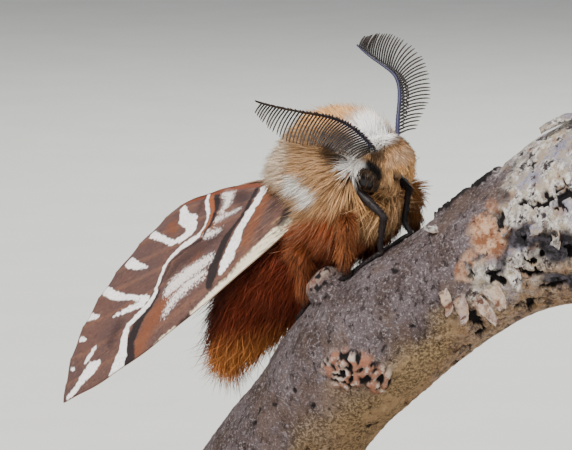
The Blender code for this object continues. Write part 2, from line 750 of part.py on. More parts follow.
def build():
    finish = finishes()
    moth = bpy.data.objects.new("moth", None)
    bpy.context.scene.collection.objects.link(moth)
    moth.matrix_world = MOTH_FRAME
    sides = {"right": 1, "left": -1}
    plain = finish["leg"]

    smoothed(tube("stand_rod", rod_line(), [ROD_RADIUS] * 2, 24, finish["stand_metal"]))
    stand_base(finish["stand_wood"])
    perch = branch("perch_branch", finish["bark"])
    socket = tube("socket", rod_line(GAP), [ROD_RADIUS + GAP] * 2, 24, finish["bark"])
    smoothed(combine(perch, [socket], "DIFFERENCE"))

    legs = leg_lines()

    def bark_cutter():
        return branch("bark_cutter", plain, GAP)

    def leg_cutters():
        return [tube("leg_cutter", line, radii, LEG_SIDES, plain, moth, GAP) for line, radii in legs.values()]

    def wing_cutters():
        made = []
        for spec in (FOREWING, HINDWING):
            made += [wing("wing_cutter", spec, mirror, plain, moth, GAP) for mirror in sides.values()]
        return made

    def eyes(grow, look):
        made = []
        for side, mirror in sides.items():
            at = Vector((EYE_AT.x, -EYE_AT.y * mirror, EYE_AT.z))
            made.append(ellipsoid("eye_" + side, at, [EYE_RADIUS + grow] * 3, look, moth, 14, 8))
        return made

    pieces = []
    for name, (line, radii) in legs.items():
        made = tube(name, line, radii, LEG_SIDES, finish["leg"], moth)
        pieces.append(smoothed(combine(made, [bark_cutter()], "DIFFERENCE")))
    for side, mirror in sides.items():
        pieces.append(smoothed(wing("forewing_" + side, FOREWING, mirror, finish["forewing_scales"], moth)))
        pieces.append(smoothed(wing("hindwing_" + side, HINDWING, mirror, finish["hindwing_scales"], moth)))
        pieces.append(feeler("antenna_" + side, ANTENNAE[side], finish["feeler"], moth))
    for eye in eyes(0.0, finish["eye"]):
        pieces.append(smoothed(eye))
    bpy.context.view_layer.update()
    around = obstacle([*pieces, perch])

    waist_at = Vector(ABDOMEN_AXIS[0])
    waist = (Vector(ABDOMEN_AXIS[1]) - waist_at).normalized()
    ahead = Vector((1, 0, 0))

    thorax = ellipsoid("thorax", THORAX_AT_REST, THORAX_RADII, finish["thorax_coat"], moth, 16, 9)
    cutters = [
        bark_cutter(),
        *leg_cutters(),
        *wing_cutters(),
        half_space("neck_cutter", ahead * (NECK_X - GAP / 2), ahead, 12, plain, moth),
        half_space("waist_cutter", waist_at - waist * GAP / 2, waist, 12, plain, moth),
    ]
    combine(thorax, cutters, "DIFFERENCE")

    head = ellipsoid("head", HEAD_AT, HEAD_RADII, finish["head_coat"], moth, 14, 8)
    cutters = [
        bark_cutter(),
        *leg_cutters(),
        *eyes(GAP, plain),
        *[feeler_shaft("shaft_cutter", spec, plain, moth, GAP) for spec in ANTENNAE.values()],
        half_space("neck_cutter", ahead * (NECK_X + GAP / 2), -ahead, 12, plain, moth),
    ]
    combine(head, cutters, "DIFFERENCE")

    axis = sampled(ABDOMEN_AXIS, 10)
    radii = [through([(r, 0, 0) for r in ABDOMEN_RADII], k / 9).x for k in range(10)]
    abdomen = tube("abdomen", axis, radii, 12, finish["abdomen_coat"], moth)
    cutters = [
        bark_cutter(),
        *leg_cutters(),
        *wing_cutters(),
        half_space("waist_cutter", waist_at + waist * GAP / 2, -waist, 12, plain, moth),
    ]
    combine(abdomen, cutters, "DIFFERENCE")

    bpy.context.view_layer.update()
    add_coat(thorax, thorax_roots(), around + obstacle([head, abdomen]), plain, moth)
    bpy.context.view_layer.update()
    add_coat(abdomen, abdomen_roots(), around + obstacle([thorax]), plain, moth)
    add_coat(head, head_roots(), around + obstacle([thorax]), plain, moth)


for old in list(bpy.data.objects):
    bpy.data.objects.remove(old)
build()
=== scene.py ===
# %% [markdown]
# # A kentish glory moth on a branch
#
# This lesson dresses a packed model of a male kentish glory moth. The model gives the places and the sizes. Here it
# gets a fur coat of fine mesh strands, patterned wings, comb feelers, rough bark and a plain stand.
#
# Lengths in the code are in millimetres unless a name says otherwise, and `MM` turns them into metres. The moth has
# its own frame: +X is forwards, +Y is its left side and +Z is its back, with the middle of the thorax at zero.

# %% Tools and the packed model
import math

import bpy
import numpy as np
from mathutils import Matrix, Vector, noise
from mathutils.bvhtree import BVHTree
from mathutils.kdtree import KDTree


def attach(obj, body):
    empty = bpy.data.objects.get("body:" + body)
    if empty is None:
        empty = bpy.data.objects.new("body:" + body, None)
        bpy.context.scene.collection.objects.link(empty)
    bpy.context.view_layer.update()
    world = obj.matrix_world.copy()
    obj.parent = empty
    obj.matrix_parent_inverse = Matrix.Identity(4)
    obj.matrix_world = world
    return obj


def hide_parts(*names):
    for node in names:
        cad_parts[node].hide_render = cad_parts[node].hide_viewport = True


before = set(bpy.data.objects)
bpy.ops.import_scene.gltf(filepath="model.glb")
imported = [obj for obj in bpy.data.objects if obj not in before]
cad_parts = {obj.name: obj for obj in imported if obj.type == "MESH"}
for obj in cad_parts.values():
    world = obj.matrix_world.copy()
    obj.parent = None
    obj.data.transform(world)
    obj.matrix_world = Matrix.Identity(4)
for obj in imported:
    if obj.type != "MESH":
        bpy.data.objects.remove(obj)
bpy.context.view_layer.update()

MM = 0.001

# %% [markdown]
# ## How the moth is placed
#
# On the real animal every part hangs on one body, which is turned and tilted on the twig. The pieces could be made
# level and turned as objects afterwards. Here their corners are turned once by one matrix instead, because the packed
# solids have no turn of their own either. The values repeat the model's, so each new piece goes where its solid is.

# %% The moth's own frame
THORAX_AT = Vector((-1.0, -4.0, 39.5))
YAW = math.radians(37.9)
PITCH = math.radians(23.8)
ROLL = math.radians(16.1)


def moth_frame():
    """How the moth is turned and placed above the stand, in metres."""
    forwards = Vector((math.sin(YAW) * math.cos(PITCH), -math.cos(YAW) * math.cos(PITCH), math.sin(PITCH)))
    level_left = Vector((math.cos(YAW), math.sin(YAW), 0))
    level_up = forwards.cross(level_left)
    left = level_left * math.cos(ROLL) + level_up * math.sin(ROLL)
    turned = Matrix((forwards, left, forwards.cross(left))).transposed()
    return Matrix.LocRotScale(THORAX_AT * MM, turned, None)


MOTH = moth_frame()
MOTH_TURN = np.array(MOTH.to_3x3())
MOTH_AT = np.array(THORAX_AT)


def to_row(points):
    """Points of the moth's frame, in millimetres, as points of the row's frame, in millimetres."""
    return np.asarray(points) @ MOTH_TURN.T + MOTH_AT


def to_moth(points):
    """Points of the row's frame as points of the moth's frame, both in millimetres."""
    return (np.asarray(points) - MOTH_AT) @ MOTH_TURN


print("The moth looks along", MOTH_TURN[:, 0].round(2), "and its back is towards", MOTH_TURN[:, 2].round(2))

# %% [markdown]
# ## Small tools for meshes
#
# A shape can be made from Blender's primitives and modifiers, by sculpting, or from arrays of corners and faces. A moth
# has thousands of fine parts, and each carries values for its colours. So arrays are used here: numpy works out all
# corners of a piece at once, and the mesh takes them in one call, with the named values that the materials read.

# %% Numbers and curves
# How far apart two seeds are in the noise, so that they have nothing in common
SEED_STEP = 7.31


def unit(vectors):
    """Vectors of length one."""
    return vectors / np.maximum(np.linalg.norm(vectors, axis=-1, keepdims=True), 1e-9)


def smooth(low, high, values):
    """0 below low, 1 above high, and a soft rise between them."""
    t = np.clip((values - low) / (high - low), 0, 1)
    return t * t * (3 - 2 * t)


def blend(first, second, share):
    """The first value where the share is 0, the second where it is 1."""
    return first * (1 - share) + second * share


def catmull(points, t):
    """Points at t (0 to 1) on the smooth curve through the given points, as rows of an array."""
    known = np.asarray(points, float)
    known = np.vstack([2 * known[0] - known[1], known, 2 * known[-1] - known[-2]])
    place = np.clip(np.asarray(t, float), 0, 1) * (len(points) - 1)
    first = np.minimum(place.astype(int), len(points) - 2)
    part = (place - first)[..., None]
    a, b, c, d = (known[first + k] for k in range(4))
    return (2 * b + (c - a) * part + (2 * a - 5 * b + 4 * c - d) * part**2 + (3 * b - a - 3 * c + d) * part**3) / 2


def bezier(points, t):
    """Points at t on the cubic Bezier curve of four points."""
    a, b, c, d = (np.asarray(p, float) for p in points)
    t = np.asarray(t, float)[..., None]
    return a * (1 - t) ** 3 + 3 * b * t * (1 - t) ** 2 + 3 * c * t**2 * (1 - t) + d * t**3


def wavy(points, size, seed):
    """Soft noise from -1 to 1 at each point, with waves of about the given size; each seed gives its own."""
    points = np.asarray(points, float) / size + seed * SEED_STEP
    return np.array([noise.noise(Vector(p)) for p in points.reshape(-1, 3)]).reshape(points.shape[:-1])


print("Halfway on a curve through three places:", catmull([(0, 0), (1, 2), (2, 0)], np.array([0.5])))


# %% From arrays to an object
def mesh_piece(name, corners, faces, look, values=None, body="root"):
    """A smooth shaded object that rides on the model, from corners in millimetres in the row's frame."""
    mesh = bpy.data.meshes.new(name)
    mesh.vertices.add(len(corners))
    mesh.vertices.foreach_set("co", (np.asarray(corners, np.float32) * MM).ravel())
    sizes = np.array([len(f) for f in faces]) if isinstance(faces, list) else np.full(len(faces), faces.shape[1])
    loops = np.concatenate([np.asarray(f) for f in faces]) if isinstance(faces, list) else faces.ravel()
    mesh.loops.add(len(loops))
    mesh.loops.foreach_set("vertex_index", loops.astype(np.int32))
    mesh.polygons.add(len(sizes))
    mesh.polygons.foreach_set("loop_start", np.concatenate([[0], np.cumsum(sizes)[:-1]]).astype(np.int32))
    mesh.update(calc_edges=True)
    mesh.validate()
    mesh.shade_smooth()
    for key, value in (values or {}).items():
        kind = "FLOAT" if np.ndim(value) == 1 else "FLOAT_VECTOR"
        layer = mesh.attributes.new(key, kind, "POINT")
        layer.data.foreach_set("value" if kind == "FLOAT" else "vector", np.asarray(value, np.float32).ravel())
    mesh.materials.append(look)
    made = bpy.data.objects.new(name, mesh)
    bpy.context.scene.collection.objects.link(made)
    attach(made, body)
    print(name, "has", len(corners), "corners and", len(sizes), "faces")
    return made


# %% Grids and tubes
# Directions that no line here follows, so that a cross product with one of them is never zero
ASLANT = np.array([0.13, 0.31, 0.94])
ASLANT_HAIR = np.array((0.31, 0.83, 0.46))


def grid_faces(rows, columns, closed=False):
    """Quads between the corners of a grid, whose last column meets the first where it is closed."""
    r, c = np.meshgrid(np.arange(rows - 1), np.arange(columns if closed else columns - 1), indexing="ij")
    after = (c + 1) % columns
    corners = [r * columns + c, (r + 1) * columns + c, (r + 1) * columns + after, r * columns + after]
    return np.stack(corners, -1).reshape(-1, 4)


def edge_band(rows, columns):
    """Quads that join the edges of two layers of a grid, where the second layer's corners follow the first's."""
    number = np.arange(rows * columns).reshape(rows, columns)
    border = np.concatenate([number[0], number[1:, -1], number[-1, -2::-1], number[-2:0:-1, 0]])
    after = np.roll(border, -1)
    return np.stack([border, after, after + number.size, border + number.size], -1)


def frames_along(line):
    """For each point of a line: the direction along it and two directions across it."""
    along = unit(np.gradient(line, axis=0))
    first = unit(np.cross(along, ASLANT))
    return along, first, np.cross(along, first)


def tube_grid(line, radii, sides):
    """Rings of corners round a line of points, as an array of rings, sides and three coordinates."""
    _, first, second = frames_along(line)
    turn = np.linspace(0, math.tau, sides, endpoint=False)
    ring = np.cos(turn)[None, :, None] * first[:, None] + np.sin(turn)[None, :, None] * second[:, None]
    return line[:, None] + ring * np.asarray(radii)[:, None, None]


def tube_mesh(line, radii, sides):
    """The corners and faces of a closed tube."""
    rings = tube_grid(line, radii, sides)
    corners = rings.reshape(-1, 3)
    faces = [list(f) for f in grid_faces(len(line), sides, True)]
    faces += [list(range(sides))[::-1], list(range(len(corners) - sides, len(corners)))]
    return corners, faces


def surface_tree(corners, faces):
    """A tree of a surface, which quickly finds where a ray meets it."""
    return BVHTree.FromPolygons([Vector(c) for c in corners], [tuple(int(i) for i in f) for f in faces])


print("A grid of 3 by 4 corners has", len(grid_faces(3, 4)), "quads")

# %% [markdown]
# ## Shared shader node groups
#
# Some effects come back in many finishes, such as the uneven edge of a mark or a fine grain. They could be built again
# in each material. A node group is made once instead, with named inputs, and placed in each material with its own
# values. It gives only colours, masks, values or normals; the shader itself stays in the material.

# %% A short way to write nodes
class Graph:
    """A short way to add nodes to a tree and to join them."""

    def __init__(self, tree):
        self.tree = tree

    def add(self, kind, inputs=None, **settings):
        """A new node with these settings, and with these values or outputs at its inputs."""
        node = self.tree.nodes.new(kind)
        for key, value in settings.items():
            setattr(node, key, value)
        for key, value in (inputs or {}).items():
            self.put(value, node.inputs[key])
        return node

    def put(self, value, socket):
        """Joins an output to a socket, or sets the socket's own value."""
        if isinstance(value, bpy.types.NodeSocket):
            self.tree.links.new(value, socket)
        elif isinstance(value, tuple) and len(value) == 3 and socket.type == "RGBA":
            socket.default_value = (*value, 1.0)
        else:
            socket.default_value = value

    def math(self, operation, *values, clamp=False):
        """A sum or a function of one, two or three values."""
        return self.add("ShaderNodeMath", dict(enumerate(values)), operation=operation, use_clamp=clamp).outputs[0]

    def times(self, value, factor):
        """A value times a number or another value."""
        return self.math("MULTIPLY", value, factor)

    def mix(self, mask, a, b, blend="MIX"):
        """Colour a, with colour b over it where the mask is 1."""
        node = self.add("ShaderNodeMix", data_type="RGBA", blend_type=blend)
        self.put(mask, node.inputs[0])
        self.put(a, node.inputs[6])
        self.put(b, node.inputs[7])
        return node.outputs[2]

    def noise(self, where, scale, detail=3.0, roughness=0.55):
        """Soft noise from 0 to 1; the scale says how many waves lie in one unit of the place."""
        inputs = {"Vector": where, "Scale": scale, "Detail": detail, "Roughness": roughness}
        return self.add("ShaderNodeTexNoise", inputs).outputs[0]

    def value(self, name):
        """A named value that the mesh carries on its corners."""
        return self.add("ShaderNodeAttribute", attribute_name=name).outputs["Fac"]

    def place(self, name):
        """A named place that the mesh carries on its corners."""
        return self.add("ShaderNodeAttribute", attribute_name=name).outputs["Vector"]

    def rise(self, value, low, high):
        """0 below low, 1 above high, and a soft step between."""
        inputs = {"Value": value, "From Min": low, "From Max": high}
        return self.add("ShaderNodeMapRange", inputs, interpolation_type="SMOOTHSTEP").outputs[0]

    def tint(self, colour, value, low, high, paint, strength=1.0):
        """Paint over a colour where a value rises from low to high, or falls where low is the larger."""
        mask = self.rise(value, low, high)
        return self.mix(self.times(mask, strength) if strength < 1 else mask, colour, paint)

    def brighter(self, colour, amount):
        """A colour times an amount, which may change over the surface."""
        return self.add("ShaderNodeVectorMath", {0: colour, "Scale": amount}, operation="SCALE").outputs[0]

    def stretched(self, where, scale):
        """A place times a number for each direction."""
        return self.add("ShaderNodeVectorMath", {0: where, 1: scale}, operation="MULTIPLY").outputs[0]


print("A graph can", ", ".join(name for name in vars(Graph) if not name.startswith("_")))


# %% Making a group and using it
def group(name, inputs, outputs, fill):
    """A node group with these sockets, filled by a function that gets its graph and its input sockets."""
    tree = bpy.data.node_groups.new(name, "ShaderNodeTree")
    for label, kind, value in inputs:
        socket = tree.interface.new_socket(label, in_out="INPUT", socket_type=kind)
        if value is not None:
            socket.default_value = value
    for label, kind in outputs:
        tree.interface.new_socket(label, in_out="OUTPUT", socket_type=kind)
    graph = Graph(tree)
    entry = tree.nodes.new("NodeGroupInput")
    leave = tree.nodes.new("NodeGroupOutput")
    results = fill(graph, entry.outputs)
    for (label, _), result in zip(outputs, results):
        tree.links.new(result, leave.inputs[label])
    print("group", name, "has", len(tree.nodes), "nodes")
    return tree


def use(graph, tree, **inputs):
    """A use of a group in a graph; its outputs are read by name."""
    node = graph.add("ShaderNodeGroup", node_tree=tree)
    for key, value in inputs.items():
        graph.put(value, node.inputs[key.replace("_", " ")])
    return node.outputs


# %% A mark's uneven edge
def ragged_edge(graph, entry):
    """The mask is 1 where the distance is below zero, after noise has moved it in and out."""
    wobble = graph.math("SUBTRACT", graph.noise(entry["Place"], entry["Grain"], 4.0, 0.65), 0.5)
    moved = graph.math("MULTIPLY_ADD", wobble, entry["Wobble"], entry["Distance"])
    away = graph.rise(moved, graph.times(entry["Softness"], -1.0), entry["Softness"])
    return [graph.math("SUBTRACT", 1.0, away)]


# A mask from a distance in millimetres, with the uneven edge that rows of small scales give
RAGGED_EDGE = group(
    "RaggedEdge",
    [
        ("Distance", "NodeSocketFloat", 0.0),
        ("Place", "NodeSocketVector", None),
        ("Grain", "NodeSocketFloat", 4.0),
        ("Wobble", "NodeSocketFloat", 0.5),
        ("Softness", "NodeSocketFloat", 0.05),
    ],
    [("Mask", "NodeSocketFloat")],
    ragged_edge,
)


# %% Uneven colour
def speckle(graph, entry):
    """The colour made brighter and darker by noise of two sizes, and that noise."""
    fine = graph.noise(entry["Place"], graph.times(entry["Scale"], 4.0), 2.0, 0.6)
    broad = graph.noise(entry["Place"], entry["Scale"], 4.0, 0.6)
    both = graph.math("ADD", graph.times(fine, 0.6), graph.times(broad, 0.4))
    swing = graph.times(graph.math("SUBTRACT", both, 0.5), entry["Amount"])
    bright = graph.math("ADD", 1.0, graph.times(swing, 2.0))
    return [graph.brighter(entry["Color"], bright), both]


# A colour made uneven by fine and broad grain, with the grain itself for a bump
SPECKLE = group(
    "Speckle",
    [
        ("Color", "NodeSocketColor", (0.5, 0.5, 0.5, 1.0)),
        ("Place", "NodeSocketVector", None),
        ("Scale", "NodeSocketFloat", 3.0),
        ("Amount", "NodeSocketFloat", 0.5),
    ],
    [("Color", "NodeSocketColor"), ("Grain", "NodeSocketFloat")],
    speckle,
)


# %% A whole material
def material(name, fill, roughness=0.6, **settings):
    """A material. Its function gives the colour, then perhaps a bump's height, strength and depth, and a roughness."""
    made = bpy.data.materials.new(name)
    made.use_nodes = True
    graph = Graph(made.node_tree)
    shader = made.node_tree.nodes["Principled BSDF"]
    shader.inputs["Roughness"].default_value = roughness
    for key, value in settings.items():
        shader.inputs[key.replace("_", " ")].default_value = value
    result = fill(graph)
    colour, height, strength, depth, rough = (*result, None, None, None, None)[:5]
    graph.put(colour, shader.inputs["Base Color"])
    if height is not None:
        inputs = {"Height": height, "Strength": strength, "Distance": depth}
        graph.put(graph.add("ShaderNodeBump", inputs).outputs[0], shader.inputs["Normal"])
    if rough is not None:
        graph.put(rough, shader.inputs["Roughness"])
    print("material", name, "has", len(made.node_tree.nodes), "nodes")
    return made


def here(graph):
    """The place in the object, in millimetres; the objects aren't moved, so this is the row's frame."""
    return graph.stretched(graph.add("ShaderNodeTexCoord").outputs["Object"], (1 / MM, 1 / MM, 1 / MM))


# %% [markdown]
# ## The wings' shape
#
# A moth's wing is a thin sheet, stiffened by veins that fan out from its root. At rest the two pairs lie over the body
# like a roof. A plane with bend and solidify modifiers could make one. Here each wing is a fine grid between four edge
# curves, on the model's own surface: the grid's directions follow the wing, so veins and pleats are easy to raise.

# %% The wings' outlines, in millimetres from the root
WING_SWEEP = math.radians(19.5)
WING_DROOP = math.radians(10.3)
WING_LEAN = math.radians(42.0)
GAP = 0.3
WING_LIFT = 0.06
VEIN_RIDGE = 0.1
VEIN_WIDTH = 0.16
# Costa, dorsum and termen are the front, back and outer edge. A vein has its share of the width, and where it starts.
FOREWING = {
    "root": np.array((0.2, -3.1, -0.5)),
    "costa": [(0.0, 0.0), (10.0, -0.6), (22.0, -2.6), (31.6, 0.5)],
    "dorsum": [(0.4, 1.8), (4.5, 5.6), (10.4, 10.1), (16.4, 12.2)],
    "termen": [(31.6, 0.5), (28.8, 5.4), (22.8, 10.1), (16.4, 12.2)],
    "veins": [(0.08, 0.0), (0.2, 0.0), (0.35, 0.48), (0.49, 0.48), (0.62, 0.0), (0.77, 0.25), (0.92, 0.0)],
    "camber": 1.1,
    "scallop": 0.1,
    "grid": (172, 106),
}
HINDWING = {
    "root": np.array((-2.18, -2.23, -0.96)),
    "costa": [(0.0, 0.0), (6.0, -0.4), (13.0, -0.4), (18.0, 1.5)],
    "dorsum": [(0.3, 1.4), (3.0, 3.2), (6.0, 5.2), (9.5, 6.6)],
    "termen": [(18.0, 1.5), (18.8, 5.4), (14.6, 8.2), (9.5, 6.6)],
    "veins": [(0.12, 0.0), (0.32, 0.4), (0.5, 0.4), (0.7, 0.0), (0.9, 0.0)],
    "camber": 0.4,
    "scallop": 0.1,
    "grid": (110, 80),
}
print("The forewing is", FOREWING["costa"][-1][0], "mm long, the hindwing", HINDWING["costa"][-1][0])


# %% From the flat wing to the moth
def wing_axes():
    """The right wings' directions: along the front edge, across to the back edge, and out of the upper side."""
    sweep = Matrix.Rotation(WING_SWEEP, 3, "Z")
    droop = Matrix.Rotation(-WING_DROOP, 3, "Y")
    along = sweep @ (droop @ Vector((-1, 0, 0)))
    out = Vector((0, -math.sin(WING_LEAN), math.cos(WING_LEAN)))
    out = (out - along * out.dot(along)).normalized()
    return np.array(along), np.array(along.cross(out)), np.array(out)


def wing_flat(spec, i, j):
    """Flat places on a wing, at i from root to outer edge and j from front edge to back edge."""
    costa, dorsum, termen = (np.asarray(spec[k], float) for k in ("costa", "dorsum", "termen"))
    front, back, edge = bezier(costa, i), bezier(dorsum, i), bezier(termen, j)
    i, j = i[..., None], j[..., None]
    root = blend(costa[0], dorsum[0], j)
    plain = blend(root, blend(costa[3], dorsum[3], j), i)
    return blend(front, back, j) + blend(root, edge, i) - plain


def wing_height(spec, i, j):
    """How far the wing's middle surface stands above its flat plan: arched, and waved between the veins."""
    arch = spec["camber"] * np.sin(math.pi * j) * (0.35 + 0.65 * i)
    rolled = -0.9 * (1 - j) ** 6 * (1 - 0.7 * i)
    waves = spec["scallop"] * np.sin(math.tau * j * len(spec["veins"]) / 1.05) * i**3
    return arch + rolled + waves * 0.5


def wing_surface(spec, i, j, lift=0.0):
    """Places on the right wing's upper side in the moth's frame, kept clear of the other wing."""
    along, across, out = wing_axes()
    flat = wing_flat(spec, i, j)
    height = wing_height(spec, i, j) + lift
    at = spec["root"] + flat[..., :1] * along + flat[..., 1:] * across + height[..., None] * out
    at[..., 1] = np.minimum(at[..., 1], -0.6 * GAP)
    return at, flat


print("The forewing's outer front corner:", wing_surface(FOREWING, np.array(1.0), np.array(0.0))[0].round(1))

# %% [markdown]
# ## The wings' pattern
#
# The real pattern is laid in small scales, like roof tiles, each of one colour: white lines edged with black, pale
# wedges between the veins, and a cream front edge. It could be painted in a picture, but a picture blurs in a close
# view. So each mark is a stroke on the flat wing: a row of places, each with a half width. The mesh carries the
# distance to each group of strokes, and the material later turns these distances into marks with a scaly edge.

# %% The two white lines, with their black and rusty edges
ANTEMEDIAL = [(4.6, 6.6, 0.45), (5.3, 5.6, 0.5), (6.2, 3.9, 0.48), (7.2, 2.95, 0.5), (8.2, 2.3, 0.45)]
ANTEMEDIAL += [(8.9, 1.5, 0.62), (9.8, 0.85, 0.6), (10.9, 0.3, 0.35), (11.5, 0.0, 0.15)]
ANTEMEDIAL_EDGE = [(6.4, 6.2, 0.28), (7.0, 4.6, 0.3), (7.8, 3.5, 0.2), (8.9, 2.95, 0.2), (9.9, 2.4, 0.42)]
ANTEMEDIAL_EDGE += [(10.9, 1.5, 0.4), (12.0, 0.6, 0.5), (12.9, -0.2, 0.35)]
POSTMEDIAL_BACK = [(12.75, 10.4, 0.2), (12.45, 8.4, 0.2), (12.1, 7.0, 0.16), (12.4, 5.8, 0.14), (13.1, 5.1, 0.2)]
POSTMEDIAL = [(13.1, 5.1, 0.2), (14.1, 5.25, 0.34), (15.2, 5.5, 0.3), (16.7, 5.2, 0.22), (17.9, 4.0, 0.2)]
POSTMEDIAL += [(18.5, 2.8, 0.2), (19.3, 2.3, 0.28), (20.9, 2.1, 0.3), (22.3, 1.9, 0.3), (23.1, 1.0, 0.42)]
POSTMEDIAL += [(23.6, 0.0, 0.55), (24.6, -0.7, 0.65), (25.3, -1.2, 0.65)]
POSTMEDIAL_RUST = [(12.25, 10.4, 0.24), (11.95, 8.4, 0.26), (11.6, 7.0, 0.2), (11.95, 5.7, 0.16), (12.9, 4.85, 0.1)]
POSTMEDIAL_INNER = [(11.6, 10.4, 0.3), (11.35, 8.4, 0.32), (11.2, 6.9, 0.3), (11.6, 5.6, 0.22), (12.8, 4.5, 0.14)]
POSTMEDIAL_INNER += [(14.4, 4.75, 0.1), (16.4, 4.7, 0.1), (17.5, 3.7, 0.1), (18.2, 2.5, 0.12), (19.5, 1.8, 0.18)]
POSTMEDIAL_INNER += [(21.2, 1.3, 0.42), (22.3, 0.5, 0.5), (22.9, -0.6, 0.5), (23.9, -1.4, 0.45)]
print("The outer white line has", len(POSTMEDIAL), "places")

# %% White wedges and scattered pale scales
SPOTS = [
    [(15.6, 10.9, 0.3), (15.3, 9.3, 0.6), (14.2, 7.9, 0.72), (14.1, 6.75, 0.6), (15.2, 6.4, 0.36)],
    [(14.8, 6.5, 0.4), (16.3, 6.8, 0.3), (17.4, 8.2, 0.26), (18.5, 9.5, 0.32), (19.1, 10.2, 0.42)],
    [(21.7, 8.7, 0.5), (20.9, 7.7, 0.42), (19.4, 6.3, 0.08)],
    [(24.6, 7.5, 0.42), (23.6, 6.2, 0.4), (22.3, 5.0, 0.28), (20.8, 3.8, 0.22), (19.6, 2.9, 0.3)],
    [(20.1, 2.8, 0.28), (22.0, 3.4, 0.26), (23.8, 3.85, 0.1)],
    [(26.7, 6.0, 0.4), (25.6, 5.2, 0.18)],
    [(28.0, 4.5, 0.26), (27.5, 4.1, 0.1)],
    [(26.4, 2.4, 0.16), (27.3, 2.15, 0.26), (27.9, 2.0, 0.2)],
    [(26.5, 0.95, 0.3), (27.5, 1.0, 0.62), (28.5, 0.85, 0.46), (29.6, 0.45, 0.28), (30.9, 0.45, 0.22)],
    [(29.7, 2.5, 0.2), (29.5, 2.4, 0.1)],
]
PALE_SCALES = [
    [(10.6, 8.9, 0.3), (9.8, 7.8, 0.55), (9.9, 6.7, 0.45), (10.4, 6.0, 0.25)],
    [(8.3, 4.7, 0.08), (9.8, 5.2, 0.18), (10.9, 5.5, 0.3)],
    [(10.6, 3.9, 0.12), (11.6, 4.3, 0.34), (12.3, 4.7, 0.3)],
    [(11.8, 1.8, 0.3), (13.2, 1.9, 0.5), (14.8, 2.1, 0.6), (16.6, 2.1, 0.5), (17.4, 1.9, 0.3)],
    [(12.9, 0.9, 0.25), (15.0, 1.1, 0.45), (17.0, 0.8, 0.3), (18.3, 0.3, 0.12)],
]
print("There are", len(SPOTS), "white wedges")

# %% The front edge, rusty fields and dark shades
CREAM = [
    [(2.6, 0.15, 0.06), (4.2, -0.15, 0.32), (6.2, -0.45, 0.52), (8.5, -0.65, 0.5), (10.5, -0.9, 0.42)],
    [(10.5, -0.9, 0.4), (13.0, -1.0, 0.34), (15.6, -1.15, 0.16)],
    [(17.7, -1.3, 0.2), (19.0, -1.35, 0.26), (20.4, -1.35, 0.12)],
]
BLACK_COSTA = [
    [(16.0, -1.2, 0.22), (17.2, -1.35, 0.26)],
    [(20.6, -1.5, 0.15), (22.4, -1.6, 0.3), (23.6, -1.7, 0.3)],
    [(1.2, 0.5, 0.45), (2.6, 0.5, 0.5), (4.4, 0.1, 0.2)],
]
RUST = [
    [(4.2, 5.4, 0.6), (4.9, 3.9, 0.9), (6.4, 1.9, 0.6), (8.0, 0.7, 0.35)],
    [(13.0, 3.2, 0.15), (16.4, 1.6, 0.55), (18.6, 1.0, 0.75), (20.2, 0.4, 0.7), (22.0, -0.7, 0.5)],
    [(16.8, 9.6, 0.5), (16.2, 8.4, 0.3)],
    [(10.4, 5.6, 0.5), (12.6, 4.3, 0.3)],
]
EDGE_RUST = [[(6.2, 6.3, 0.26), (7.8, 7.5, 0.32), (10.3, 9.1, 0.34), (12.9, 10.5, 0.32), (16.3, 12.0, 0.28)]]
SHADE = [
    [(10.4, 3.2, 0.3), (13.0, 3.8, 0.7), (15.6, 3.9, 0.6), (17.0, 3.2, 0.3)],
    [(7.8, 5.5, 0.6), (8.6, 6.8, 0.7)],
    [(13.2, 9.9, 0.4), (13.4, 8.6, 0.3)],
    [(2.4, 1.9, 0.3), (4.6, 1.6, 0.2)],
    [(23.4, 2.6, 0.5), (24.6, 1.8, 0.5)],
]
print("The front edge has", len(CREAM), "cream strokes")

# %% The hindwing's band and spots
HIND_BAND = [[(8.2, -0.5, 0.5), (8.8, 2.0, 0.45), (8.0, 5.0, 0.4), (6.4, 6.4, 0.3)]]
HIND_SPOTS = [[(15.5, 1.4, 0.3), (16.2, 3.0, 0.35)], [(14.6, 5.2, 0.35), (13.4, 6.6, 0.3)]]
print("The hindwing has", len(HIND_BAND), "band and", len(HIND_SPOTS), "spots")


# %% Distances to strokes and veins
def stroke_distance(flat, stroke):
    """The distance from each flat place to a stroke's edge: below zero inside it."""
    nearest = np.full(flat.shape[:-1], 99.0)
    for (x0, y0, w0), (x1, y1, w1) in zip(stroke, stroke[1:]):
        a = np.array((x0, y0))
        step = np.array((x1 - x0, y1 - y0))
        t = np.clip(((flat - a) @ step) / (step @ step), 0, 1)
        gap = np.linalg.norm(flat - a - t[..., None] * step, axis=-1) - (w0 + (w1 - w0) * t)
        nearest = np.minimum(nearest, gap)
    return nearest


def strokes_distance(flat, strokes):
    """The distance to the nearest of several strokes."""
    return np.min([stroke_distance(flat, s) for s in strokes], axis=0)


def vein_distance(spec, flat, i, j):
    """The distance to the nearest vein, in the wing's plan."""
    width = np.linalg.norm(bezier(spec["costa"], i) - bezier(spec["dorsum"], i), axis=-1)
    nearest = np.full(i.shape, 9.0)
    for place, start in spec["veins"]:
        gap = np.abs(j - place) * width + 20 * np.maximum(0, start - i)
        nearest = np.minimum(nearest, gap)
    return nearest


print("The first wedge's own places are inside it:", stroke_distance(np.array(SPOTS[0])[:, :2], SPOTS[0]).round(2))


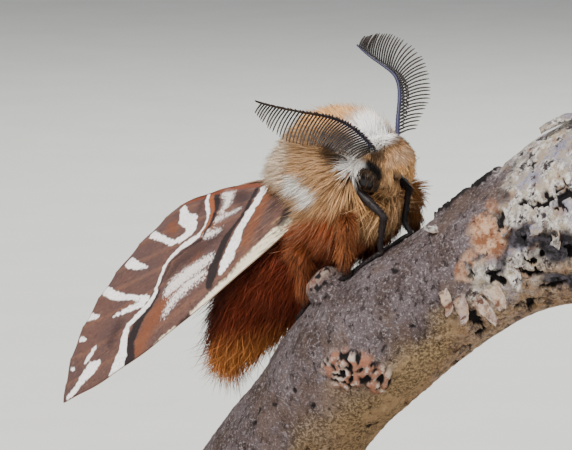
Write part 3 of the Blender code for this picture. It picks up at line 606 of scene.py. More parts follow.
# %% A wing's mesh
def wing_layers(spec, i, j, flat, veins):
    """The corners of a wing's upper and lower side: thin at the edge, ridged on the veins and softly pleated."""
    ridge = VEIN_RIDGE * np.exp(-((veins / VEIN_WIDTH) ** 2)) * (1 - 0.4 * i)
    pleat = 0.05 * np.sin(flat[..., 0] * 0.9 + flat[..., 1] * 1.7) * i
    edge = np.minimum.reduce([i * 12, (1 - i) * 12, j * 9, (1 - j) * 9]).clip(0, 1)
    half = 0.05 + 0.07 * edge
    upper, _ = wing_surface(spec, i, j, WING_LIFT + half + ridge + pleat)
    lower, _ = wing_surface(spec, i, j, WING_LIFT - half + 0.4 * ridge + pleat)
    return upper, lower


def wing_piece(name, spec, mirror, marks, look):
    """A wing as a thin closed sheet with raised veins, carrying the distances to its marks."""
    rows, columns = spec["grid"]
    i, j = np.meshgrid(np.linspace(0, 1, rows), np.linspace(0, 1, columns), indexing="ij")
    _, flat = wing_surface(spec, i, j)
    veins = vein_distance(spec, flat, i, j)
    upper, lower = wing_layers(spec, i, j, flat, veins)
    corners = np.concatenate([upper.reshape(-1, 3), lower.reshape(-1, 3)])
    corners[:, 1] *= mirror
    count = rows * columns
    top = grid_faces(rows, columns)
    faces = np.concatenate([top[:, ::-1], top + count, edge_band(rows, columns)])
    if mirror < 0:
        faces = faces[:, ::-1]
    values = {"veins": np.tile(veins.ravel(), 2), "outer": np.tile(i.ravel(), 2)}
    values["flat"] = np.tile(np.concatenate([flat, 0 * flat[..., :1]], -1).reshape(-1, 3), (2, 1))
    values["under"] = np.repeat([0.0, 1.0], count)
    for key, strokes in marks.items():
        values[key] = np.tile(strokes_distance(flat, strokes).ravel(), 2)
    return mesh_piece(name, to_row(corners), faces, look, values)


print("Corners on each side of the forewing:", FOREWING["grid"][0] * FOREWING["grid"][1])

# %% [markdown]
# ## The wings' finish
#
# The field of the wing is a brown dust of scales, rustier on the veins and greyer between them, and long grains lie
# towards the outer edge. One noise texture would look like stone. So several are stretched along the wing and mixed,
# the marks are laid over them one by one, and rows of scale-shaped cells feed the bump.

# %% Colours and scales
# How finely the edges of broad fields and of thin lines are broken up, and the bump's strength and depth
FIELD_GRAIN, LINE_GRAIN = 5.0, 2.6
SCALE_BUMP = (0.35, 0.06 * MM)


def tone(red, green, blue):
    """A colour as seen on a screen (0 to 255) in the linear values that the shaders use."""
    return tuple(((c / 255 + 0.055) / 1.055) ** 2.4 if c > 10 else c / 3294.6 for c in (red, green, blue))


def wing_skin(graph, field, grey, flat):
    """The field of a wing: brown scales, rusty veins and a greyer dust between them."""
    colour = graph.tint(field, graph.noise(flat, 0.28, 3.0), 0.4, 0.62, grey)
    colour = graph.tint(colour, graph.value("veins"), 0.42, 0.08, tone(128, 88, 68), 0.35)
    long_grain = graph.noise(graph.stretched(flat, (1.2, 4.5, 1.0)), 1.6, 3.0, 0.7)
    colour = graph.tint(colour, long_grain, 0.52, 0.72, tone(60, 40, 36))
    return graph.tint(colour, long_grain, 0.42, 0.26, tone(132, 100, 84))


def scale_height(graph, flat):
    """Rows of small scales, which overlap towards the wing's edge."""
    rows = graph.add("ShaderNodeTexVoronoi", {"Vector": graph.stretched(flat, (3.6, 7.5, 1.0)), "Scale": 1.0})
    return graph.math("ADD", graph.times(rows.outputs["Distance"], 0.7), rows.outputs["Color"])


def lay_marks(graph, colour, flat, marks):
    """Lays marks over a colour: each has a carried distance, a colour, a wobble, a softness and a strength."""
    for key, paint, wobble, softness, strength in marks:
        edge = {"Grain": FIELD_GRAIN if wobble > 1 else LINE_GRAIN, "Wobble": wobble, "Softness": softness}
        mask = use(graph, RAGGED_EDGE, Distance=graph.value(key), Place=flat, **edge)["Mask"]
        colour = graph.mix(graph.times(mask, strength), colour, paint)
    return colour


print("A mid brown in the shaders' own values:", tone(94, 66, 58))


# %% The forewing's marks and streaks
def forewing_marks(graph, flat):
    """The forewing's marks from the lowest to the uppermost, as lay_marks wants them."""
    white = graph.tint(tone(250, 246, 242), graph.noise(flat, 3.4, 4.0, 0.7), 0.42, 0.3, tone(196, 176, 166))
    black = tone(30, 22, 24)
    return [
        ("rust", tone(122, 66, 34), 2.6, 0.5, 0.65),
        ("shade", tone(52, 36, 34), 2.2, 0.5, 0.75),
        ("pale_scales", tone(232, 224, 220), 2.4, 0.22, 0.85),
        ("ante_edge", black, 0.5, 0.1, 0.95),
        ("ante", white, 0.6, 0.07, 0.97),
        ("post_inner", black, 0.5, 0.12, 0.95),
        ("post_rust", tone(146, 78, 40), 0.4, 0.1, 0.85),
        ("edge_rust", tone(116, 58, 34), 0.6, 0.12, 0.85),
        ("cream", tone(240, 226, 196), 0.6, 0.1, 0.95),
        ("black_costa", black, 0.7, 0.15, 0.9),
        ("post", white, 0.45, 0.06, 0.97),
        ("spots", white, 0.6, 0.08, 0.97),
    ]


def root_streaks(graph, colour, flat):
    """Dark and pale hair-like streaks over a colour, near the wing's root."""
    streaks = graph.noise(graph.stretched(flat, (0.5, 7.0, 1.0)), 1.1, 3.0, 0.7)
    near_root = graph.rise(graph.value("outer"), 0.42, 0.1)
    dark = graph.times(graph.rise(streaks, 0.52, 0.64), near_root)
    colour = graph.mix(graph.times(dark, 0.8), colour, tone(44, 30, 26))
    pale = graph.times(graph.rise(streaks, 0.46, 0.34), near_root)
    return graph.mix(graph.times(pale, 0.35), colour, tone(196, 156, 112))


print("The edges of lines have", LINE_GRAIN, "waves to a millimetre, those of broad fields", FIELD_GRAIN)


# %% The forewing's finish
def forewing_fill(graph):
    """Field, marks and streaks on the upper side, a paler lower side, and a darker outer edge."""
    flat = graph.place("flat")
    colour = wing_skin(graph, tone(94, 66, 58), tone(84, 62, 58), flat)
    colour = lay_marks(graph, colour, flat, forewing_marks(graph, flat))
    grain = use(graph, SPECKLE, Color=colour, Place=flat, Scale=3.4, Amount=0.75)
    streaked = root_streaks(graph, grain["Color"], flat)
    under = graph.mix(graph.noise(flat, 0.4), tone(140, 104, 84), tone(176, 142, 114))
    colour = graph.mix(graph.value("under"), streaked, under)
    colour = graph.tint(colour, graph.value("outer"), 0.985, 1.0, tone(70, 52, 48), 0.6)
    return colour, scale_height(graph, flat), *SCALE_BUMP


FOREWING_LOOK = material("ForewingScales", forewing_fill, 0.6, Specular_IOR_Level=0.3)


# %% The hindwing's finish
def hindwing_fill(graph):
    """An orange brown field with a dark band and spots, and a paler lower side."""
    flat = graph.place("flat")
    colour = wing_skin(graph, tone(190, 112, 56), tone(164, 96, 56), flat)
    marks = [
        ("band", tone(52, 34, 30), 0.7, 0.25, 0.9),
        ("spots", tone(62, 40, 34), 0.9, 0.3, 0.8),
    ]
    colour = lay_marks(graph, colour, flat, marks)
    grain = use(graph, SPECKLE, Color=colour, Place=flat, Scale=3.4, Amount=0.7)
    under = graph.mix(graph.noise(flat, 0.4), tone(178, 122, 80), tone(196, 146, 104))
    colour = graph.mix(graph.value("under"), grain["Color"], under)
    return colour, scale_height(graph, flat), *SCALE_BUMP


HINDWING_LOOK = material("HindwingScales", hindwing_fill, 0.6, Specular_IOR_Level=0.3)

# %% All four wings
FOREWING_MARKS = {
    "ante": [ANTEMEDIAL],
    "ante_edge": [ANTEMEDIAL_EDGE],
    "post": [POSTMEDIAL, POSTMEDIAL_BACK],
    "post_rust": [POSTMEDIAL_RUST],
    "post_inner": [POSTMEDIAL_INNER],
    "spots": SPOTS,
    "pale_scales": PALE_SCALES,
    "cream": CREAM,
    "black_costa": BLACK_COSTA,
    "rust": RUST,
    "edge_rust": EDGE_RUST,
    "shade": SHADE,
}
WINGS = {}
for side, mirror in (("right", 1), ("left", -1)):
    for kind, spec, marks, look in (
        ("forewing", FOREWING, FOREWING_MARKS, FOREWING_LOOK),
        ("hindwing", HINDWING, {"band": HIND_BAND, "spots": HIND_SPOTS}, HINDWING_LOOK),
    ):
        made = wing_piece(f"{kind}_{side}_fine", spec, mirror, marks, look)
        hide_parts(f"{kind}_{side}")
        WINGS[kind, side] = made
print("wings:", len(WINGS))

# %% [markdown]
# ## The branch
#
# The real perch is a cut twig. Its middle is fine grey bark, like salt and pepper, with an ochre underside. Towards
# the thick end the bark is older: pale plates with black gaps between them, an orange patch where a plate has come
# off, and a black ridge. A displacement modifier with a texture could raise the plates. Here the same rule that raises
# a corner also says what it is, so the colours can never slip off the forms, and the plates show at the outline too.

# %% The branch's own places
BRANCH_AXIS = [
    (-9.2, 2.0, 11.6, 5.2),
    (-4.0, -1.9, 18.8, 5.3),
    (1.7, -5.6, 26.2, 5.7),
    (8.1, -8.2, 31.5, 5.15),
    (12.2, -8.8, 34.25, 5.45),
    (16.2, -9.1, 36.2, 6.5),
    (20.2, -9.5, 38.1, 7.1),
    (24.2, -9.8, 39.6, 7.0),
]
BUD_AT = np.array((-2.2, -6.0, 31.4))
BUD_RADIUS = 1.5
CRUST = [((0.0, -10.9, 25.0), (2.7, 2.4, 1.5), 1.0), ((2.2, -11.0, 24.0), (1.2, 1.6, 1.3), 0.9)]
ORANGE = [((10.6, -14.6, 36.8), (1.7, 2.6, 2.6), 1.0), ((9.2, -13.6, 33.6), (0.8, 2.0, 1.2), 0.8)]
BLACK_RIDGE = [((8.3, -7.6, 38.1), (2.4, 1.4, 1.4), 1.0), ((10.6, -8.2, 40.1), (1.5, 1.4, 1.3), 0.9)]
SLATE = [
    ((13.4, -15.0, 36.3), (2.2, 4.0, 0.9), 1.0),
    ((16.2, -16.0, 35.6), (2.0, 4.0, 1.2), 1.0),
    ((17.4, -16.0, 32.6), (3.0, 4.0, 0.8), 1.0),
    ((20.6, -16.0, 36.6), (1.8, 4.0, 0.9), 0.9),
    ((11.9, -14.0, 34.6), (0.7, 4.0, 1.5), 0.9),
    ((7.6, -13.0, 34.0), (0.8, 3.0, 0.7), 0.9),
    ((6.6, -13.0, 31.6), (0.8, 3.0, 0.7), 0.8),
    ((11.2, -12.0, 39.2), (1.3, 3.0, 0.8), 0.8),
]


def branch_frames(t):
    """Axis points, radii and the two directions across the branch at each t."""
    axis = np.array(BRANCH_AXIS)
    here_now = catmull(axis, t)
    ahead, behind = catmull(axis, np.minimum(t + 1e-3, 1)), catmull(axis, np.maximum(t - 1e-3, 0))
    along = unit(ahead[:, :3] - behind[:, :3])
    first = unit(np.cross(along, np.array((0.0, 1.0, 0.0))))
    return here_now[:, :3], here_now[:, 3], along, first, np.cross(along, first)


print("The branch's radius along it:", branch_frames(np.linspace(0, 1, 6))[1].round(1))


# %% The bark's forms and what they are
def spots(places, marks):
    """The strongest of some soft spots at each place; a spot has a centre, three radii and a strength."""
    found = np.zeros(places.shape[:-1])
    for at, radii, strength in marks:
        gap = np.linalg.norm((places - np.array(at)) / np.array(radii), axis=-1)
        found = np.maximum(found, strength * smooth(1.25, 0.75, gap))
    return found


def bark_form(points, out):
    """How far the bark stands out at plain points of the branch, and the values that its material reads."""
    warped = points + 0.9 * np.stack([wavy(points, 2.2, k) for k in (1, 2, 3)], -1)
    coarse, fine = wavy(warped, 1.7, 4), wavy(points, 0.55, 6)
    ragged = 0.9 * wavy(points, 1.4, 9) + 0.5 * fine
    old = smooth(-1.2, 1.2, points[..., 0] - 10.2 - 0.35 * (points[..., 2] - 34) + 1.6 * ragged)
    high = 0.3 * smooth(-0.3, 0.7, out[..., 2])
    gaps = smooth(-0.26, -0.38, 0.8 * coarse + 0.7 * wavy(points, 0.7, 16) + 0.15 * fine + high)
    cracks = np.abs(wavy(warped, 2.4, 17)) + 0.3 * np.abs(fine) + 0.2 * coarse
    gaps = np.maximum(gaps, smooth(0.07, 0.02, cracks))
    crust = spots(points + 0.5 * ragged[..., None], CRUST)
    black = spots(points + 0.35 * ragged[..., None], BLACK_RIDGE)
    orange = spots(points + 0.6 * ragged[..., None], ORANGE)
    slate = spots(points + 0.7 * ragged[..., None], SLATE)
    lumps = smooth(-0.3, 0.1, wavy(warped, 0.5, 12))
    rise = old * (0.18 - 0.6 * gaps - 0.25 * orange) * (1 - 0.6 * black) - 0.22 * old * slate
    rise += crust * 0.4 * lumps + black * (0.35 * lumps + 0.1)
    rise += 0.12 * wavy(points, 2.6, 7) + (1 - 0.7 * old) * (0.05 * fine + 0.06 * wavy(points, 0.3, 8))
    rise += 0.35 * smooth(0.5, 0.8, wavy(points, 2.4, 13)) * (1 - old)
    pits = smooth(0.45, 0.7, wavy(points, 0.9, 15)) * (1 - old) * 0.8
    dark = np.maximum.reduce([old * gaps, black, crust * (1 - lumps), pits])
    under = smooth(-0.15, -0.6, out[..., 2] + 0.25 * wavy(points, 3.0, 10)) * (1 - 0.25 * old)
    values = {"dark": dark, "old": old, "orange": orange * (1 - gaps), "under": under}
    return rise - 0.2 * pits, {**values, "crust": crust * lumps, "slate": slate}


sample = np.array([[16.0, -15.0, 38.0]])
print("The bark near the thick end is old:", bark_form(sample, np.array([[0.0, -1.0, 0.0]]))[1]["old"].round(2))


# %% A cut face
CUT_STEPS = np.linspace(0.97, 0.02, 26)
YEAR_TURNS = 60


def cut_face(middle, out, edge, turn):
    """Rings that shrink from the branch's edge to its middle, with wavy growth rings that stand out a little."""
    rings = []
    for step in CUT_STEPS:
        inner = middle + (edge - middle) * step
        years = 0.05 * np.sin(step * YEAR_TURNS + 1.5 * np.cos(turn)) + 0.04 * wavy(inner, 0.5, 11)
        rings.append(inner + out * (0.12 * smooth(1, 0.9, step) + years)[:, None])
    return np.stack(rings)


print("A cut face has", len(CUT_STEPS), "rings")


# %% The branch's mesh
def branch_side(rings, sides):
    """Axis points and ways along them, turns round the branch, the side's corners, and the bark's values."""
    t = np.linspace(0, 1, rings)
    at, radius, along, first, second = branch_frames(t)
    turn = np.linspace(0, math.tau, sides, endpoint=False)
    out = np.cos(turn)[None, :, None] * first[:, None] + np.sin(turn)[None, :, None] * second[:, None]
    plain = at[:, None] + out * radius[:, None, None]
    swell = 0.25 * wavy(plain, 5.0, 0)
    rise, marks = bark_form(plain, out)
    ends = smooth(0, 0.012, t) * smooth(0, 0.012, 1 - t)
    corners = plain + out * (swell + rise * (0.35 + 0.65 * ends[:, None]) - 0.12)[..., None]
    return at, along, turn, corners, marks


def branch_piece(rings=340, sides=210):
    """Corners, faces and values of the branch, with a cut face at each end."""
    at, along, turn, corners, marks = branch_side(rings, sides)
    every, faces, last = [corners.reshape(-1, 3)], [grid_faces(rings, sides, True)[:, ::-1]], []
    count = rings * sides
    for ring, way in ((0, -1), (rings - 1, 1)):
        face = cut_face(at[ring], along[ring] * way, corners[ring], turn)
        number = np.arange(sides * (len(face) + 1)).reshape(-1, sides) + count - sides
        number[0] = np.arange(sides) + ring * sides
        after = np.roll(number, -1, axis=1)
        quads = np.stack([number[:-1], after[:-1], after[1:], number[1:]], -1).reshape(-1, 4)
        faces.append(quads[:, ::way])
        last.append(list(number[-1, ::way]))
        every.append(face.reshape(-1, 3))
        count += sides * len(face)
    every = np.concatenate(every)
    extra = len(every) - rings * sides
    values = {key: np.concatenate([value.ravel(), np.zeros(extra)]) for key, value in marks.items()}
    values["cut"] = np.repeat([0.0, 1.0], (rings * sides, extra))
    values["round"] = np.concatenate([np.ones(rings * sides), np.tile(np.repeat(CUT_STEPS, sides), 2)])
    return every, [list(f) for f in np.concatenate(faces)] + last, values


print("The side of a coarse branch:", branch_side(6, 8)[3].shape)

# %% [markdown]
# ## The bark's finish
#
# Bark is never one colour: lichen, dust and weather each lay their own grain on it. The finish first makes the grey of
# the young bark, the ochre of its underside and the pale plates of the old bark from noises of different sizes, and
# then mixes them by the values that the mesh carries. Only the finest grain is left to the bump.

# %% Young bark
def young_bark(graph, mm, salt, pepper, broad):
    """Fine grey bark like salt and pepper, with an ochre underside."""
    streak = graph.noise(graph.stretched(mm, (0.5, 0.6, 0.35)), 0.5, 5.0, 0.7)
    grey = graph.tint(tone(66, 52, 47), broad, 0.36, 0.64, tone(92, 81, 83))
    grey = graph.tint(grey, salt, 0.5, 0.68, tone(150, 141, 143), 0.75)
    grey = graph.tint(grey, pepper, 0.5, 0.36, tone(38, 29, 28))
    grey = graph.tint(grey, streak, 0.52, 0.62, tone(100, 80, 68), 0.4)
    grey = graph.tint(grey, streak, 0.44, 0.36, tone(50, 38, 36), 0.6)
    ochre = graph.tint(tone(92, 74, 52), salt, 0.4, 0.62, tone(164, 138, 100))
    ochre = graph.tint(ochre, broad, 0.48, 0.62, tone(158, 130, 94))
    ochre = graph.tint(ochre, pepper, 0.48, 0.32, tone(52, 38, 28))
    return graph.mix(graph.value("under"), grey, ochre)


print("The grey of young bark, in the shaders' own values:", np.round(tone(92, 81, 83), 3))


# %% Old bark
def old_bark(graph, mm, salt, pepper, mottle):
    """Pale plates with bluish, brownish and buff parts, a warm underside and slate grey patches."""
    pale = graph.tint(tone(104, 94, 90), pepper, 0.38, 0.62, tone(212, 206, 198))
    pale = graph.tint(pale, graph.noise(mm, 0.5, 3.0), 0.5, 0.62, tone(120, 118, 142), 0.75)
    pale = graph.tint(pale, graph.noise(mm, 0.7, 4.0), 0.52, 0.64, tone(146, 112, 84), 0.75)
    pale = graph.tint(pale, mottle, 0.5, 0.6, tone(168, 152, 120), 0.6)
    pale = graph.tint(pale, mottle, 0.45, 0.38, tone(48, 42, 46))
    warm = graph.tint(tone(112, 82, 54), salt, 0.4, 0.62, tone(166, 128, 84))
    warm = graph.tint(warm, mottle, 0.48, 0.38, tone(62, 46, 34))
    warm = graph.tint(warm, pepper, 0.5, 0.36, tone(56, 40, 28))
    slate = graph.tint(tone(30, 27, 30), mottle, 0.44, 0.62, tone(86, 81, 88))
    return graph.mix(graph.value("slate"), graph.mix(graph.value("under"), pale, warm), slate)


print("The plates of old bark, in the shaders' own values:", np.round(tone(212, 206, 198), 3))


# %% Bare patches, crust and cut wood
def patches(graph, colour, pepper, mottle):
    """The rusty bare patches, the reddish crust and the black of gaps and ridges, over the bark's colour."""
    rusty = graph.tint(tone(126, 80, 54), mottle, 0.42, 0.62, tone(188, 152, 124))
    rusty = graph.tint(rusty, pepper, 0.42, 0.34, tone(48, 32, 28))
    colour = graph.mix(graph.value("orange"), colour, rusty)
    crusty = graph.tint(tone(150, 100, 78), mottle, 0.46, 0.58, tone(190, 172, 158))
    colour = graph.mix(graph.value("crust"), colour, crusty)
    return graph.tint(colour, graph.value("dark"), 0.25, 0.8, tone(20, 16, 17))


def cut_wood(graph, mm, broad):
    """Pale wood with a dark line for each year, and dark under the bark."""
    wood = graph.mix(graph.noise(mm, 2.4), tone(178, 148, 110), tone(138, 106, 74))
    years = graph.times(graph.math("ADD", graph.value("round"), graph.times(broad, 0.12)), 62.0)
    wood = graph.tint(wood, graph.math("SINE", years), 0.2, 1.0, tone(104, 74, 48))
    return graph.tint(wood, graph.value("round"), 0.9, 0.95, tone(70, 46, 30))


print("The cut wood has", round(62.0 / math.tau, 1), "years on a radius")


# %% The whole bark
def bark_fill(graph):
    """Young and old bark, patches and cut wood, each where the mesh says that it is."""
    mm = here(graph)
    broad = graph.noise(mm, 0.3, 4.0, 0.6)
    salt = graph.noise(mm, 4.6, 3.0, 0.75)
    pepper = graph.noise(graph.stretched(mm, (1.0, 1.0, 0.6)), 2.1, 5.0, 0.8)
    mottle = graph.noise(mm, 1.0, 5.0, 0.7)
    young = young_bark(graph, mm, salt, pepper, broad)
    colour = graph.mix(graph.value("old"), young, old_bark(graph, mm, salt, pepper, mottle))
    colour = patches(graph, colour, pepper, mottle)
    colour = graph.mix(graph.value("cut"), colour, cut_wood(graph, mm, broad))
    height = graph.math("ADD", salt, graph.times(pepper, 0.8))
    return colour, height, 0.8, 0.3 * MM


BARK_LOOK = material("Bark", bark_fill, 0.9, Specular_IOR_Level=0.25)

# %% The branch itself
bark_corners, bark_faces, bark_values = branch_piece()
branch = mesh_piece("branch_bark", bark_corners, bark_faces, BARK_LOOK, bark_values)
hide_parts("perch_branch")
BARK_TREE = surface_tree(bark_corners, bark_faces)

# %% [markdown]
# ## The bud's scar
#
# A knob on the near side is the scar of an old bud: a low cone with a blunt, scaly top. A sphere pushed into the bark
# would show a clean seam. So it is a tube that starts under the bark, spreads at its foot and carries the same noise.


# %% Where rays meet the bark
FAR_OUT = 14.0


def bark_ray(start, way):
    """Where a ray meets the bark, and the way out there."""
    found = BARK_TREE.ray_cast(Vector(start), Vector(way))
    return np.array(found[0]), np.array(found[1])


def bark_hit(point):
    """The bark's surface straight out from the branch's axis through a point, and the way out."""
    at = branch_frames(np.linspace(0, 1, 301))[0]
    nearest = at[np.argmin(np.linalg.norm(at - point, axis=1))]
    out = Vector(point - nearest).normalized()
    return bark_ray(Vector(nearest) + out * FAR_OUT, -out)[0], np.array(out)


print("The bark under the bud:", bark_hit(BUD_AT)[0].round(1))

# %% The knob on the bark
BUD_HEIGHTS = (-0.8, -0.2, 0.3, 0.8, 1.15, 1.4, 1.5, 1.5)
BUD_RADII = np.array((1.7, 1.45, 1.2, 1.08, 0.95, 0.75, 0.4, 0.02)) * BUD_RADIUS


def bud_piece(rings=60, sides=72):
    """A blunt cone that stands out of the bark: a straight tube, whose rings are then moved to their heights."""
    base, out = bark_hit(BUD_AT)
    t = np.linspace(0, 1, rings)
    known = np.linspace(0, 1, len(BUD_HEIGHTS))
    heights, radii = np.interp(t, known, BUD_HEIGHTS), np.interp(t, known, BUD_RADII)
    straight = tube_grid(base + out * t[:, None], radii, sides) - (out * t[:, None])[:, None]
    corners = straight + (out * heights[:, None])[:, None]
    spread = corners - (base + out * heights[:, None])[:, None]
    rise = wavy(corners, 0.8, 12) * 0.14 + 0.1 * wavy(corners, 0.35, 13)
    corners = corners + unit(spread) * (rise * smooth(0, 0.3, radii)[:, None])[..., None]
    flat = corners.reshape(-1, 3)
    lumps = smooth(-0.3, 0.1, wavy(flat, 0.45, 14))
    values = {"dark": 0.75 * (1 - lumps), "crust": 0.55 * lumps * np.repeat(smooth(0.3, 0.8, t), sides)}
    return mesh_piece("branch_bud", flat, grid_faces(rings, sides, True), BARK_LOOK, values)


bud_piece()


# %% [markdown]
# ## Curled flakes
#
# Where old plates come off, thin chips curl away from the bark. Cloth or bend modifiers could roll them, but a chip is
# only a short strip that leaves the surface at a slope and turns more and more. Adding up that turn step by step gives
# the curl directly, and each chip stays a closed thin sheet.

# %% One chip
def flake_mesh(root, out, way, length, width, curl, lift):
    """A thin curled chip of bark: it leaves the surface at a lift and rolls back on itself."""
    rows, columns = 16, 10
    way = unit(way - out * (way @ out))
    aside = np.cross(out, way)
    i, j = np.meshgrid(np.linspace(0, 1, rows), np.linspace(-1, 1, columns), indexing="ij")
    angle = lift + curl * i
    reach = np.cumsum(np.cos(angle), 0) / rows * length
    height = np.cumsum(np.sin(angle), 0) / rows * length
    taper = (1 - 0.55 * i**2) * (1 + 0.25 * wavy(np.stack([i * 3, j, 0 * i], -1), 0.7, length))
    at = root + way * reach[..., None] + out * height[..., None] + aside * (j * width / 2 * taper)[..., None]
    at = at + out * (0.18 * j**2 * width)[..., None]
    at = at + 0.1 * np.stack([wavy(at, 0.6, k) for k in (21, 22, 23)], -1)
    thick = out * 0.07
    both = np.concatenate([(at + thick).reshape(-1, 3), (at - thick).reshape(-1, 3)])
    count = rows * columns
    sheet = grid_faces(rows, columns)
    faces = np.concatenate([sheet, sheet[:, ::-1] + count, edge_band(rows, columns)])
    return both, faces, np.repeat([0.0, 1.0], count)


level = flake_mesh(np.zeros(3), np.array((0.0, 0.0, 1.0)), np.array((1.0, 0.0, 0.0)), 2.0, 1.0, 1.2, 0.3)[0]
print("A chip 2 mm long, once it has curled, reaches", np.ptp(level, axis=0).round(2), "mm")


# %% The chips on the near side
# Where across and how high the root is, the way, the length, the width, the curl and the lift
FLAKES = [
    (7.2, 32.0, (0.55, 0.0, -0.85), 3.9, 0.9, 1.1, 0.4),
    (8.3, 31.4, (0.7, 0.0, -0.7), 3.9, 1.2, 0.9, 0.35),
    (9.7, 31.2, (0.75, 0.0, -0.65), 3.2, 1.0, 0.9, 0.45),
    (10.9, 32.2, (0.6, 0.0, -0.8), 2.4, 1.3, 1.0, 0.3),
    (12.0, 36.9, (0.75, 0.0, -0.65), 2.3, 1.2, 1.3, 0.4),
    (14.6, 37.6, (0.4, 0.0, -0.9), 2.6, 1.3, 1.2, 0.4),
    (15.6, 36.2, (0.95, 0.0, -0.2), 1.9, 0.8, 1.1, 0.35),
    (16.0, 36.8, (1.0, 0.0, 0.2), 1.6, 0.8, 1.8, 0.4),
    (7.0, 36.4, (-0.7, 0.0, -0.4), 1.4, 0.9, 1.1, 0.4),
    (12.7, 33.4, (0.5, 0.0, -0.8), 1.8, 1.1, 1.0, 0.3),
    (18.6, 34.6, (0.8, 0.0, -0.5), 2.4, 1.2, 1.4, 0.3),
    (20.9, 38.6, (0.6, 0.0, 0.6), 2.0, 1.3, 1.0, 0.4),
    (22.6, 36.0, (0.5, 0.0, -0.8), 1.8, 1.0, 1.6, 0.4),
]
# A long chip is grey all over. The others are rusty below, and the lowest ones half as rusty above as well.
LONG_CHIP, LOW_CHIP = 4.0, 33.0
print("There are", len(FLAKES), "chips on the near side")

# %% All the chips, with one more on top and one on the far side
roots = [(*bark_ray((x, -40, z), (0, 1, 0)), way, *rest) for x, z, way, *rest in FLAKES]
roots.append((*bark_ray((19.0, -10.5, 60), (0, 0, -1)), (-1.0, -0.1, 0.0), 4.2, 1.7, -0.5, 0.34))
roots.append((*bark_ray((17.0, 10, 38), (0, -1, 0)), (-0.6, 0.0, -0.6), 2.6, 1.6, 1.2, 0.3))
parts, faces, undersides, count = [], [], [], 0
for root, out, way, length, width, curl, lift in roots:
    corners, quads, side = flake_mesh(root - out * 0.15, out, np.array(way), length, width, curl, lift)
    parts.append(corners)
    faces.append(quads + count)
    undersides.append(np.maximum(side, 0.5 * (root[2] < LOW_CHIP)) if length < LONG_CHIP else 0 * side)
    count += len(corners)
under = np.concatenate(undersides)
values = {"old": 0 * under + 1, "orange": 0.9 * under}
flakes = mesh_piece("bark_flakes", np.concatenate(parts), np.concatenate(faces), BARK_LOOK, values)
print("chips:", len(roots))

# %% [markdown]
# ## The stand
#
# A plain wooden base and a metal rod hold the branch. The model's solids have the right shape already, so they stay and
# only get a finish: long drifting bands and fine pores for the wood, and fine brush lines for the rod.


# %% Wood and metal
def stand_wood_fill(graph):
    """Bands along the plank that drift a little, and short dark pores."""
    mm = here(graph)
    drift = graph.noise(mm, 0.12, 2.0)
    long = graph.stretched(mm, (0.05, 1.0, 1.0))
    bands = graph.noise(graph.add("ShaderNodeVectorMath", {0: long, 1: drift}, operation="ADD").outputs[0], 0.9, 5.0)
    pores = graph.noise(graph.stretched(mm, (0.35, 6.0, 6.0)), 1.4, 3.0, 0.7)
    colour = graph.tint(tone(86, 56, 38), bands, 0.36, 0.64, tone(140, 100, 70))
    colour = graph.tint(colour, pores, 0.6, 0.75, tone(54, 34, 24))
    return colour, pores, 0.25, 0.1 * MM


def stand_metal_fill(graph):
    """Fine upright brush lines, in the colour, the bump and the roughness."""
    brushed = graph.noise(graph.stretched(here(graph), (9.0, 9.0, 0.5)), 1.2, 3.0, 0.7)
    colour = graph.mix(brushed, tone(132, 128, 122), tone(176, 170, 160))
    return colour, brushed, 0.15, 0.05 * MM, graph.math("MULTIPLY_ADD", brushed, 0.2, 0.25)


STAND_WOOD = material("StandWood", stand_wood_fill, 0.42, Coat_Weight=0.25, Coat_Roughness=0.3)
STAND_METAL = material("StandMetal", stand_metal_fill, 0.35, Metallic=1.0)
for node, look in (("stand_base", STAND_WOOD), ("stand_rod", STAND_METAL)):
    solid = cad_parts[node]
    solid.data.materials.clear()
    solid.data.materials.append(look)
    print(node, "gets", look.name)

# %% [markdown]
# ## The eyes
#
# A moth's eye is a dark, faintly shining ball of tiny facets, half hidden in dark hair. The facets could be modelled,
# but they are far finer than the picture shows. So the eye is a plain ball that sits as deep in the fur as the model's,
# with a fine cell pattern in the bump.

# %% The eyes
EYE_AT = np.array((5.65, 1.85, -1.3))
EYE_RADIUS = 0.92


def eye_at(mirror):
    """The middle of the left eye, or of the right one where mirror is -1."""
    return EYE_AT * np.array((1, mirror, 1))


def eye_ball(centre, rings=34, sides=60):
    """Corners and faces of a ball, a little flatter to the side than from front to back."""
    turn, tilt = np.meshgrid(np.linspace(0, math.tau, sides, endpoint=False), np.linspace(0.02, math.pi - 0.02, rings))
    ball = np.stack([np.sin(tilt) * np.cos(turn), np.sin(tilt) * np.sin(turn), np.cos(tilt)], -1)
    faces = [list(f[::-1]) for f in grid_faces(rings, sides, True)]
    faces += [list(range(sides)), list(range((rings - 1) * sides, rings * sides))[::-1]]
    return (centre + ball * EYE_RADIUS * np.array((1.0, 0.92, 1.04))).reshape(-1, 3), faces


def eye_fill(graph):
    """Almost black, with tiny cells in the bump."""
    mm = here(graph)
    cells = graph.add("ShaderNodeTexVoronoi", {"Vector": mm, "Scale": 14.0}).outputs["Distance"]
    colour = graph.mix(graph.noise(mm, 1.2), tone(9, 6, 8), tone(20, 15, 20))
    return colour, cells, 0.25, 0.02 * MM


EYE_LOOK = material("Eye", eye_fill, 0.2, Specular_IOR_Level=0.25)
for side, mirror in (("right", -1), ("left", 1)):
    corners, faces = eye_ball(eye_at(mirror))
    made = mesh_piece(f"eye_{side}_fine", to_row(corners), faces, EYE_LOOK)
    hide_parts(f"eye_{side}")

# %% [markdown]
# ## The skin
#
# Under the fur the head, the thorax and the abdomen are one smooth body, so that no seam shows between them. Metaballs
# or a remesh could join three solids. A single tube on the insect's middle line is simpler and unwraps by itself: its
# place along the body and round it are two numbers, and the strands of the coat use the same two for their own map.

